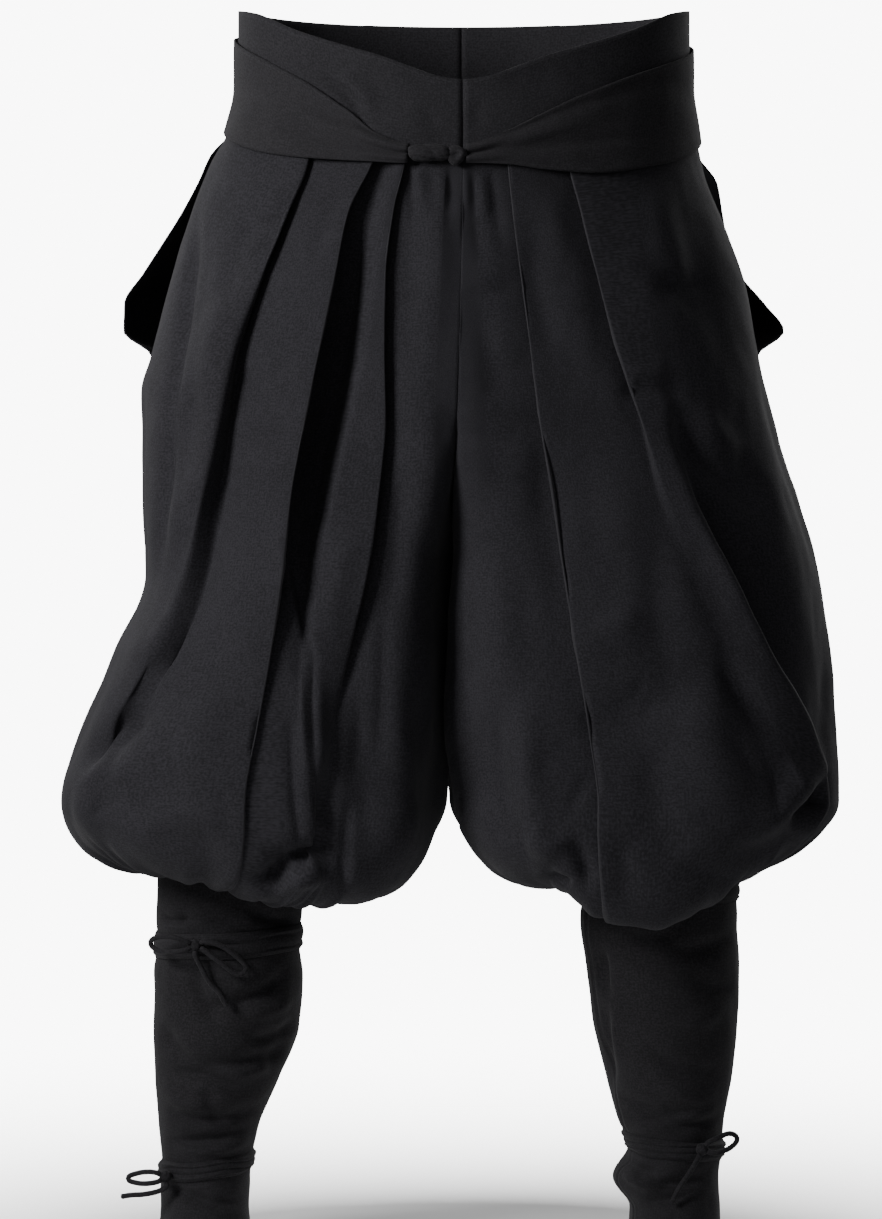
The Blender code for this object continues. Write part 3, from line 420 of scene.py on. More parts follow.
def rumple(point, seed):
    # uneven lie of the cloth between the drawn creases
    shifted = point + Vector((seed, seed * 0.7, 0.0))
    across, down = unevenness["fineAcross"], unevenness["fineDown"]
    broad = noise.noise(shifted * unevenness["waves"])
    fine = noise.noise(Vector((shifted.x * across, shifted.y * across, shifted.z * down)))
    return unevenness["broad"] * broad + unevenness["fine"] * fine


def gridRows(cut, point):
    # rows of points by the share of the way down and along
    return [[point(i / cut["columns"], j / cut["rows"]) for i in range(cut["columns"] + 1)]
            for j in range(cut["rows"] + 1)]


# Shapes of the worn garment, as tables by height or by place along a piece
hullColumns = ("z", "side", "full", "inner", "front", "back")
rightHull = (
    (10, 178, 0, 0, 119, 119),
    (-20, 184, 0, 0, 121, 122),
    (-50, 200, 10, 0, 123, 128),
    (-100, 219, 35, 0.5, 129, 138),
    (-150, 234, 60, 1.5, 136, 146),
    (-205, 248, 85, 3, 142, 150),
    (-232, 255, 95, 3.8, 145, 151),
    (-260, 255, 105, 4.5, 147, 152),
    (-320, 254, 120, 7, 150, 152),
    (-380, 251, 132, 10.5, 152, 150),
    (-440, 274, 145, 12.8, 154, 150),
    (-500, 302, 158, 14.2, 156, 150),
    (-560, 320, 168, 18, 156, 150),
)
leftHull = (
    (10, 181, 0, 0, 119, 119),
    (-20, 185, 0, 0, 121, 122),
    (-50, 190, 10, 0, 123, 128),
    (-100, 208, 35, -0.5, 129, 138),
    (-150, 226, 60, -1.5, 136, 146),
    (-205, 236, 85, -3, 142, 150),
    (-260, 249, 105, -4.5, 147, 152),
    (-320, 268, 122, -7, 150, 152),
    (-380, 285, 138, -10.5, 152, 150),
    (-440, 293, 146, -12.8, 154, 150),
    (-500, 298, 152, -14.2, 156, 150),
    (-560, 301, 156, -7, 156, 150),
)

# The free side edge of each back panel, which stands out as a wing above the opening's foot
wingColumns = ("z", "right", "left", "behind")
wing = (
    (10, 178, 181, 0.15),
    (-20, 184, 185, 0.15),
    (-30, 188, 186, 0.15),
    (-42, 200, 188, 5),
    (-64, 212, 205, 22),
    (-88, 226, 210, 32),
    (-112, 242, 215, 40),
    (-136, 258, 225, 44),
    (-160, 273, 245, 45),
    (-182, 273, 260, 36),
    (-205, 248, 236, 0.15),
)

# How far the centre seam has turned in between the legs: 0 at the front, 1 at the crotch point
turnColumns = ("z", "share")
turnIn = (
    (-240, 0.00),
    (-280, 0.08),
    (-310, 0.30),
    (-340, 0.64),
    (-370, 1.00),
)

# Fold lines of each panel from the side to the centre. A name ending in "in" is the hidden
# turn behind a pleat's edge. The first table places a line across, the second gives its depth.
rightFrontColumns = ("z", "a", "a_in", "b", "b_in", "roll", "floor", "line", "c", "c_in", "bulge")
rightFrontAcross = (
    (-50, 117, 127, 67.5, 77.5, 66, 58, 50, 43, 51, 22),
    (-100, 134, 144, 88, 97, 84, 73, 61, 53, 62, 26),
    (-150, 154, 162, 98, 107, 93, 83, 68, 59, 68, 29),
    (-200, 172, 178, 108, 116, 101, 88, 74, 60, 68, 31),
    (-260, 186, 188, 120, 127, 112, 100, 86, 59, 68, 33),
    (-320, 199, 198, 131, 137, 122, 112, 99, 64, 73, 36),
    (-380, 215, 211, 138, 144, 130, 121, 111, 73, 80, 40),
    (-440, 238, 231, 146.5, 152, 132, 123, 115, 87, 88, 46),
    (-500, 276, 266, 157, 160.5, 132, 123, 113, 101, 96, 52),
    (-560, 296, 286, 167, 170, 132, 122, 111, 103, 97, 56),
)
rightFrontDepth = (
    (-50, 0, 7, 0, 7, 8, 8, 1, 0, 7, 1),
    (-100, 0, 9, 0, 11, 15, 15, 2, 0, 9, 0),
    (-150, 0, 11, -1, 18, 24, 25, 4, 0, 12, -1),
    (-200, -2, 13, -3, 26, 34, 35, 6, 1, 14, -1),
    (-260, -3, 17, -4, 28, 38, 39, 8, 1, 16, -1),
    (-320, -3, 20, -5, 22, 31, 36, 9, 2, 18, 0),
    (-380, -3, 21, -5, 13, 16, 24, 9, 2, 17, 0),
    (-440, -3, 19, -2, 5, 6, 10, 3, 7, 15, 0),
    (-500, -2, 14, -1, 3, 3.5, 5, 1, 10, 13, 0),
    (-560, 0, 8, -1, 3, 3, 4, 1, 9, 11, 0),
)
leftFrontColumns = ("z", "r_in", "r", "e", "e_in", "d", "d_in", "bulge")
leftFrontAcross = (
    (-50, 150, 140, 80.5, 88.5, 34, 40.5, 16),
    (-100, 152, 142, 91, 99, 38, 45, 18),
    (-150, 156, 146, 103, 111, 44, 51, 20),
    (-200, 160, 150, 116, 124, 50.5, 57.5, 23),
    (-260, 168, 158, 135.5, 139, 58, 65, 26),
    (-320, 180, 177, 156, 151, 67.5, 74.5, 30),
    (-380, 205, 208, 187, 176, 76.5, 83.5, 34),
    (-440, 231, 236, 215, 202, 86.5, 93, 38),
    (-500, 261, 268, 241, 226, 95.5, 102, 42),
    (-560, 276, 284, 258, 242, 103, 109, 46),
)
leftFrontDepth = (
    (-50, 0, 0, 0, 6, 0, 4.5, 1),
    (-100, 0, 0, 0, 7, 0, 4.5, 0),
    (-150, 0, 0, 0, 8, 0, 4.5, -1),
    (-200, 0, -1, -1, 8, 0, 4.5, -1),
    (-260, 4, -1, -1, 7, 0, 5, -1),
    (-320, 14, -4, 0, 4, -1, 5, 0),
    (-380, 24, -8, -2, 1, -1, 5.5, 0),
    (-440, 29, -10, -4, 0, -2, 6, 0),
    (-500, 29, -10, -5, 0, -2, 6.5, 0),
    (-560, 18, -6, -3, 0, -2, 8, 0),
)
backColumns = ("z", "wing", "p", "p_in", "s", "s_in", "bulge")
backAcross = (
    (0, 160, 84, 93, 44, 53, 20),
    (-100, 180, 104, 113, 52, 60, 24),
    (-200, 212, 126, 133, 62, 69, 30),
    (-300, 215, 146, 149, 73, 78, 36),
    (-400, 220, 166, 164, 86, 89, 42),
    (-500, 245, 190, 184, 103, 100, 50),
    (-560, 255, 205, 196, 114, 109, 56),
)
backDepth = (
    (0, 0, 0, 6, 0, 6, 0),
    (-100, 0, 0, 7, 0, 7, -1),
    (-200, -4, -1, 10, -1, 8, -1),
    (-300, -10, -3, 14, -2, 10, -1),
    (-400, -8, -4, 16, -3, 12, 0),
    (-500, -3, -4, 14, -3, 12, 0),
    (-560, 0, -2, 9, -2, 8, 0),
)
# How far the corner at each fold line is rounded
rightFrontFolds = (("a", 7.0), ("a_in", 5.0), ("b", 3.2), ("b_in", 3.2), ("roll", 5.0), ("floor", 5.0),
                   ("line", 3.5), ("c", 3.2), ("c_in", 3.2), ("bulge", 12.0))
leftFrontFolds = (("r_in", 9.0), ("r", 9.0), ("e", 3.2), ("e_in", 3.2), ("d", 2.8), ("d_in", 2.8),
                  ("bulge", 8.0))
backFolds = (("wing", 25.0), ("p", 3.5), ("p_in", 3.5), ("s", 3.2), ("s_in", 3.2), ("bulge", 10.0))

# How far the blouse hangs below its gathers, from the side seam (0) to the inner seam (1)
sagColumns = ("along", "right", "left", "rightBack", "leftBack")
sag = (
    (0.00, 2, -8, 2, -8),
    (0.15, -4, -8, 4, -4),
    (0.30, 3, 8, 14, 10),
    (0.45, 15, 44, 22, 22),
    (0.52, 23, 51, 26, 25),
    (0.60, 31, 43, 28, 26),
    (0.70, 32, 18, 28, 22),
    (0.80, 30, 17, 26, 16),
    (0.88, 27, 12, 24, 10),
    (1.00, 16, -6, 16, -6),
)

# Fitted lower legs: middle and half widths of each ring
shinColumns = ("z", "middle", "behind", "wide", "deep")
rightShin = (
    (-596, 186, 0, 56, 57),
    (-615, 186, 0, 57, 58),
    (-650, 187, 2, 57.5, 59),
    (-672, 187, 3, 56, 57.5),
    (-700, 187, 6, 59, 61),
    (-740, 189, 10, 58, 61),
    (-780, 196, 12, 50, 55),
    (-820, 203, 12, 40, 46),
    (-852, 205, 10, 35, 40),
    (-880, 206, 6, 35, 42),
    (-915, 206, 4, 36.5, 45),
)
leftShin = (
    (-596, 158, 0, 61, 59),
    (-615, 158, 0, 62, 60),
    (-631, 158, 1, 60.6, 59),
    (-655, 158, 2, 62.2, 60.4),
    (-700, 161, 6, 60.5, 62),
    (-740, 163, 10, 57, 61),
    (-780, 166, 12, 50, 55),
    (-815, 168, 12, 42, 47),
    (-836, 171, 10, 37, 42),
    (-862, 163, 7, 42, 43),
    (-885, 170, 5, 35.5, 42),
    (-915, 170, 4, 37, 45),
)

# Top edge of the waistband by share of the way from the centre front (0) to the side (1) and
# on to the centre back (2)
bandColumns = ("along", "top")
bandEdges = (
    (0.00, 3),
    (0.25, 24),
    (0.50, 44),
    (0.75, 64),
    (1.00, 71),
    (1.30, 73.5),
    (2.00, 73.5),
)
# Edges of the waist ties from the knot (0) over the side (1) to the back board
tieColumns = ("along", "top", "bottom", "crumple")
rightTie = (
    (0.13, -47.5, -62.5, 3.6),
    (0.22, -39, -61, 2.6),
    (0.32, -20, -59, 1.2),
    (0.50, 8, -53.5, 0.4),
    (0.75, 34, -40, 0),
    (1.00, 50, -24, 0),
    (1.30, 60, -4, 0),
    (1.62, 64, 8, 0),
)
leftTie = (
    (0.008, -47.5, -62.5, 3.6),
    (0.12, -37, -63.5, 2.6),
    (0.22, -23, -67, 1.4),
    (0.35, -6, -69, 0.6),
    (0.60, 17, -60, 0),
    (1.00, 42, -34, 0),
    (1.15, 50, -22, 0),
    (1.30, 56, -12, 0),
    (1.62, 64, 8, 0),
)

# Panels: heights, how finely they are cut up, how crisp a pressed edge is, and the listed creases' gains
panelCut = {
    "wall": 0.0012, "seamGap": 0.0003, "legGap": 0.0010, "lap": 0.0002,
    "centreTop": -0.0550, "sideTop": 0.0040, "riseEnd": -0.200, "topCurve": 1.25, "opening": -0.205,
    "crotch": -0.370, "fullest": -0.560, "gather": -0.615,
    "frontRows": 96, "backRows": 108, "blouseRows": 44, "arcSteps": 144, "cornerSteps": 4,
    "spacing": 0.0046, "spacedAt": -0.42, "sideRun": 0.010, "pressedReach": 0.0017, "cornerShare": 0.42,
    "tangent": 0.004, "drawnIn": 0.55, "gatherSpacing": 0.012, "creaseGain": 1.7,
}
pressedLines = ("b", "c", "e", "d", "p", "s")


def panelTable(names, across, depth, folds):
    return columnsOf(names, across), columnsOf(names, depth), dict(zip(
        (name for name, reach in folds), metres([reach for name, reach in folds])))


backTable = panelTable(backColumns, backAcross, backDepth, backFolds)
panels = {
    ("right", "front"): panelTable(rightFrontColumns, rightFrontAcross, rightFrontDepth, rightFrontFolds),
    ("left", "front"): panelTable(leftFrontColumns, leftFrontAcross, leftFrontDepth, leftFrontFolds),
    ("right", "back"): backTable,
    ("left", "back"): backTable,
}
hulls = {"right": columnsOf(hullColumns, rightHull), "left": columnsOf(hullColumns, leftHull)}
wings = columnsOf(wingColumns, wing)
turns = columnsOf(turnColumns, turnIn)
sags = columnsOf(sagColumns, sag)
shins = {"right": columnsOf(shinColumns, rightShin), "left": columnsOf(shinColumns, leftShin)}


def panelTop(share):
    low, high = panelCut["centreTop"], panelCut["sideTop"]
    return low + (high - low) * share ** panelCut["topCurve"]


# How much squarer than an ellipse a section is, and between which depths it gets so: the outer half,
# the half next to the inner seam, which turns in sharply between the legs, and back again at the knee
squarer = {"outer": (0.35, (0.05, 0.40)), "inner": (2.4, (0.24, 0.30)), "knee": (1.2, (0.46, 0.56))}


def squarerBy(name, z):
    most, depths = squarer[name]
    return most * smoothStep(*depths, -z)


def hullRounding(z):
    return 2 / (2.0 + squarerBy("outer", z))


def innerRounding(z):
    return 2 / (2.0 + squarerBy("inner", z) - squarerBy("knee", z))


@cache
def hullArc(leg, face, z):
    # a panel's plain section at a height, from the side seam to the inner seam
    hull = hulls[leg]
    side = readTable(hull["side"], z)
    edgeOut = panelCut["seamGap"] / 2
    if face == "back" and z > panelCut["opening"]:
        side = readTable(wings[leg], z)
        edgeOut = readTable(wings["behind"], z)
    stands = readTable(hull[face], z)
    turned = readTable(turns["share"], z)
    seamGap = panelCut["seamGap"]
    innerOut = max(stands * (1 - turned), seamGap / 2)
    gap = seamGap + (panelCut["legGap"] - seamGap) * smoothStep(-0.20, -0.26, z)
    inner = readTable(hull["inner"], z) + gap
    full = max(readTable(hull["full"], z), inner + 0.001)
    rounding = hullRounding(z)
    lengths, acrosses, outs = [0.0], [side], [edgeOut]
    steps = panelCut["arcSteps"]
    for step in range(1, steps + 1):
        angle = pi * step / steps
        if step * 2 > steps:
            rounding = innerRounding(z)
        reach = abs(cos(angle)) ** rounding
        swell = max(sin(angle), 0.0) ** rounding
        if step * 2 <= steps:
            across = full + (side - full) * reach
            out = edgeOut + (stands - edgeOut) * swell
        else:
            across = full - (full - inner) * reach
            out = innerOut + (stands - innerOut) * swell
        run = hypot(across - acrosses[-1], out - outs[-1])
        if run > 1e-6:
            lengths.append(lengths[-1] + run)
            acrosses.append(across)
            outs.append(out)
    if z > panelCut["crotch"]:
        acrosses[-1] -= gap
    return lengths, acrosses, outs


def arcPoint(arc, share, depth):
    lengths, acrosses, outs = arc
    length = share * lengths[-1]
    before = max(length - panelCut["tangent"], 0.0)
    after = min(length + panelCut["tangent"], lengths[-1])
    runAcross = lineValue(lengths, acrosses, after) - lineValue(lengths, acrosses, before)
    runOut = lineValue(lengths, outs, after) - lineValue(lengths, outs, before)
    size = hypot(runAcross, runOut)
    across = lineValue(lengths, acrosses, length) - depth * runOut / size
    out = lineValue(lengths, outs, length) + depth * runAcross / size
    return across, out


def arcShare(arc, across):
    lengths, acrosses, outs = arc
    return lineValue(acrosses[::-1], lengths[::-1], across) / lengths[-1]


def rowHeight(leg, face, level, share):
    # the front rows climb towards the side, as the panels' sewn top does
    riseEnd, centreTop = panelCut["riseEnd"], panelCut["centreTop"]
    if face == "back" or level < riseEnd:
        return level
    z = level
    for attempt in range(4):
        # the height and the place across settle against each other
        arc = hullArc(leg, face, round(z, 4))
        across = arcPoint(arc, share, 0.0)[0]
        waistShare = asin(min(1.0, max(0.0, across / arc[1][0]))) / (pi / 2)
        z = level + (panelTop(waistShare) - centreTop) * (level - riseEnd) / (centreTop - riseEnd)
    return z


def foldKnots(leg, face, level):
    acrossTable, depthTable, folds = panels[leg, face]
    arc = hullArc(leg, face, round(level, 4))
    knots = [(0.0, 0.0), (panelCut["sideRun"] / arc[0][-1], 0.0)]
    for name in folds:
        share = arcShare(arc, readTable(acrossTable[name], level))
        z = round(rowHeight(leg, face, level, share), 4)
        share = arcShare(hullArc(leg, face, z), readTable(acrossTable[name], z))
        knots.append((share, readTable(depthTable[name], z)))
    knots.append((1.0, 0.0))
    return knots


def openKnots(knots, ease):
    spread = [0.0]
    for share, depth in knots[1:]:
        spread.append(max(share, spread[-1] + panelCut["gatherSpacing"]))
    return [(share + (flat / spread[-1] - share) * ease, depth * (1 - ease))
            for (share, depth), flat in zip(knots, spread)]


def cutRuns(leg, face):
    # how many columns each stretch between fold lines takes, the same for every row
    level = panelCut["spacedAt"]
    length = hullArc(leg, face, level)[0][-1]
    knots = [(share * length, depth) for share, depth in foldKnots(leg, face, level)]
    return [max(2, round(hypot(b[0] - a[0], b[1] - a[1]) / panelCut["spacing"]))
            for a, b in zip(knots, knots[1:])]


def foldStations(knots, length, folds, runs):
    # stations along the folded line with its corners rounded, and which of them are pressed edges
    points = [Vector((share * length, depth)) for share, depth in knots]
    names = ["side", *folds]
    reaches = [panelCut["sideRun"] / 3]
    for name, reach in folds.items():
        reaches.append(panelCut["pressedReach"] if name in pressedLines else reach)
    steps, most = panelCut["cornerSteps"], panelCut["cornerShare"]
    stations, marks = [points[0]], [""]
    for i in range(1, len(points)):
        corner = points[i]
        last = i == len(points) - 1
        back = points[i - 1] - corner
        start = corner
        if not last:
            onward = points[i + 1] - corner
            reach = min(reaches[i - 1], most * back.length, most * onward.length)
            start = corner + back.normalized() * reach
            end = corner + onward.normalized() * reach
        left = stations[-1]
        for step in range(1, runs[i - 1] + 1):
            stations.append(left.lerp(start, step / runs[i - 1]))
            marks.append("")
        if not last:
            for step in range(1, steps + 1):
                t = step / steps
                stations.append(start * (1 - t) ** 2 + corner * 2 * t * (1 - t) + end * t * t)
                marks.append(names[i - 1] if step < steps else "")
    return [(point.x / length, point.y) for point in stations], marks


def panelPoint(leg, face, level, share, depth):
    z = rowHeight(leg, face, level, share)
    across, out = arcPoint(hullArc(leg, face, round(z, 4)), share, depth)
    return Vector((signOf[leg] * across, -out if face == "front" else out, z))


def blousePoint(leg, face, step, share, depth):
    # below the fullest height the cloth hangs in a bag and is drawn in to the lower leg
    shin = shins[leg]
    fullest, gather = panelCut["fullest"], panelCut["gather"]
    clear = 2 * panelCut["seamGap"] + panelCut["wall"] / 2
    angle = pi * share
    across = readTable(shin["middle"], gather) + (readTable(shin["wide"], gather) + clear) * cos(angle)
    out = panelCut["seamGap"] + (readTable(shin["deep"], gather) + clear) * sin(angle)
    ring = Vector((signOf[leg] * across, -out if face == "front" else out, 0.0))
    wall = panelPoint(leg, face, fullest, share, depth)
    hang = readTable(sags[leg + "Back" if face == "back" else leg], share) * sin(pi * step)
    point = wall.lerp(ring, 1 - cos(step * pi / 2))
    point.z = fullest + (gather - fullest) * sin(step * pi / 2) - hang
    return point


# Two edges are pressed near the waist and soft below: least, how much more, and between which heights. The
# rubbed wear and painted highlight along them follow this.
softBelow = {"e": (0.0, 0.8, (-0.33, -0.24)), "c": (0.10, 0.6, (-0.30, -0.22))}


# how strongly rubbed wear and a painted highlight lighten a pressed edge at a height
def edgeWearAndHighlightAt(name, z):
    if not name:
        return 0.0
    if name in softBelow:
        least, more, heights = softBelow[name]
        return least + more * smoothStep(*heights, z)
    return 0.75 + 0.25 * noise.noise(Vector((len(name) * 3.1, 0.0, z * 30.0)))


def panelRows(leg, face):
    folds = panels[leg, face][2]
    runs = cutRuns(leg, face)
    fullest = panelCut["fullest"]
    top = panelCut["centreTop"] if face == "front" else panelCut["sideTop"]
    count = panelCut["frontRows"] if face == "front" else panelCut["backRows"]
    rows, marks, steps = [], [], []
    for i in range(count + 1):
        level = top + (fullest - top) * i / count
        length = hullArc(leg, face, round(level, 4))[0][-1]
        stations, names = foldStations(foldKnots(leg, face, level), length, folds, runs)
        rows.append([panelPoint(leg, face, level, share, depth) for share, depth in stations])
        marks.append([edgeWearAndHighlightAt(name, level) if name in pressedLines else 0.0 for name in names])
        steps.append(0.0)
    knots = foldKnots(leg, face, fullest)
    for i in range(1, panelCut["blouseRows"] + 1):
        step = i / panelCut["blouseRows"]
        length = hullArc(leg, face, fullest)[0][-1] * (1 - panelCut["drawnIn"] * step)
        stations, names = foldStations(openKnots(knots, step), length, folds, runs)
        last = len(stations) - 1
        even = step ** 3
        rows.append([blousePoint(leg, face, step, share + (j / last - share) * even, depth)
                     for j, (share, depth) in enumerate(stations)])
        marks.append([edgeWearAndHighlightAt(name, fullest) * (1 - step) ** 2 if name in pressedLines else 0.0
                      for name in names])
        steps.append(step)
    return rows, marks, steps


# Where the legs' inner walls meet: the place across, the heights, the reach and the wave they share
meeting = {"across": -0.0142, "leaves": (-0.20, -0.50), "starts": (-0.27, -0.35), "ends": (-0.555, -0.60),
           "near": (0.004, 0.045), "half": 0.145, "height": 0.0070, "length": 0.135, "shift": 0.02,
           "slant": 9.0}


def legWave(point):
    divide = meeting["across"] * smoothStep(*meeting["leaves"], point.z)
    low = smoothStep(*meeting["starts"], point.z) * (1 - smoothStep(*meeting["ends"], point.z))
    near = 1 - smoothStep(*meeting["near"], abs(point.x - divide))
    middle = max(0.0, 1 - (point.y / meeting["half"]) ** 2)
    turn = 2 * pi * (point.y + meeting["shift"]) / meeting["length"] + meeting["slant"] * point.z
    return meeting["height"] * low * near * middle * sin(turn)


gathers = {"count": 15, "finer": 1.7, "depth": 0.0038, "grow": (0.20, 0.72), "settle": (0.80, 1.0),
           "settled": 0.72, "mean": 0.65, "coarse": 0.42, "fine": 0.22}


def gatherShape(share, step, seed):
    # uneven gathers that grow towards the drawn-in end, always outwards there
    wobble = 0.9 * sin(2 * pi * 2.3 * share + seed) + 0.6 * sin(2 * pi * 5.1 * share + 2 * seed)
    coarse = sin(2 * pi * gathers["count"] * share + wobble)
    fine = sin(2 * pi * gathers["finer"] * gathers["count"] * share + 1.3 * wobble)
    grown = smoothStep(*gathers["grow"], step)
    grown *= 1 - gathers["settled"] * smoothStep(*gathers["settle"], step)
    return gathers["depth"] * grown * (gathers["mean"] + gathers["coarse"] * coarse + gathers["fine"] * fine)


# Where the listed folds fade: across from a seam, in rows from the top, on a turned-away wall
# and in the gathers
foldFade = {"seam": (0.0, 0.022), "top": (0.0, 3.0), "away": (0.05, 0.55), "aside": (0.45, 0.90),
            "gathered": (0.55, 0.95), "uneven": (0.75, 1.0), "hidden": (-0.5, 0.0),
            "gatherSeam": (0.0, 0.035)}


def layFolds(cloth, own, face, creases, seed, steps):
    # creases, gathers and the cloth's unevenness, moved along the wall's own direction
    rows, columns = max(own.values())
    cloth.normal_update()
    outwards = -1.0 if face == "front" else 1.0
    facing = sum(vert.normal.y * outwards for vert in cloth.verts)
    turned = 1.0 if facing > 0 else -1.0
    for vert in cloth.verts:
        row, column = own[vert.index]
        share = column / columns
        inside = min(share, 1 - share)
        step = steps[row]
        normal = vert.normal * turned
        plain = 1 - smoothStep(*foldFade["gathered"], step)
        drawn = creaseDepth(creases, vert.co.x, vert.co.z, panelCut["creaseGain"])
        drawn *= smoothStep(*foldFade["away"], normal.y * outwards) * plain
        leg = "right" if vert.co.x < 0 else "left"
        aside = smoothStep(*foldFade["aside"], normal.x * signOf[leg]) * plain
        if aside > 0:
            drawn += creaseDepth(sideCreases[leg], vert.co.y, vert.co.z) * aside
        uneven = rumple(vert.co, seed) * (1 - 0.9 * smoothStep(*foldFade["uneven"], step))
        uneven *= smoothStep(*foldFade["hidden"], normal.y * outwards)
        amount = (drawn + uneven) * smoothStep(*foldFade["seam"], inside) * smoothStep(*foldFade["top"], row)
        if step > 0:
            amount += gatherShape(share, step, seed) * smoothStep(*foldFade["gatherSeam"], inside)
        vert.co += normal * amount
        # the side seam and the inner leg seam are sewn shut
        if (column == 0 and vert.co.z < panelCut["opening"]
                or column == columns and vert.co.z < panelCut["crotch"]):
            vert.co.y = -outwards * panelCut["lap"]
    for vert in cloth.verts:
        vert.co.x += legWave(vert.co)


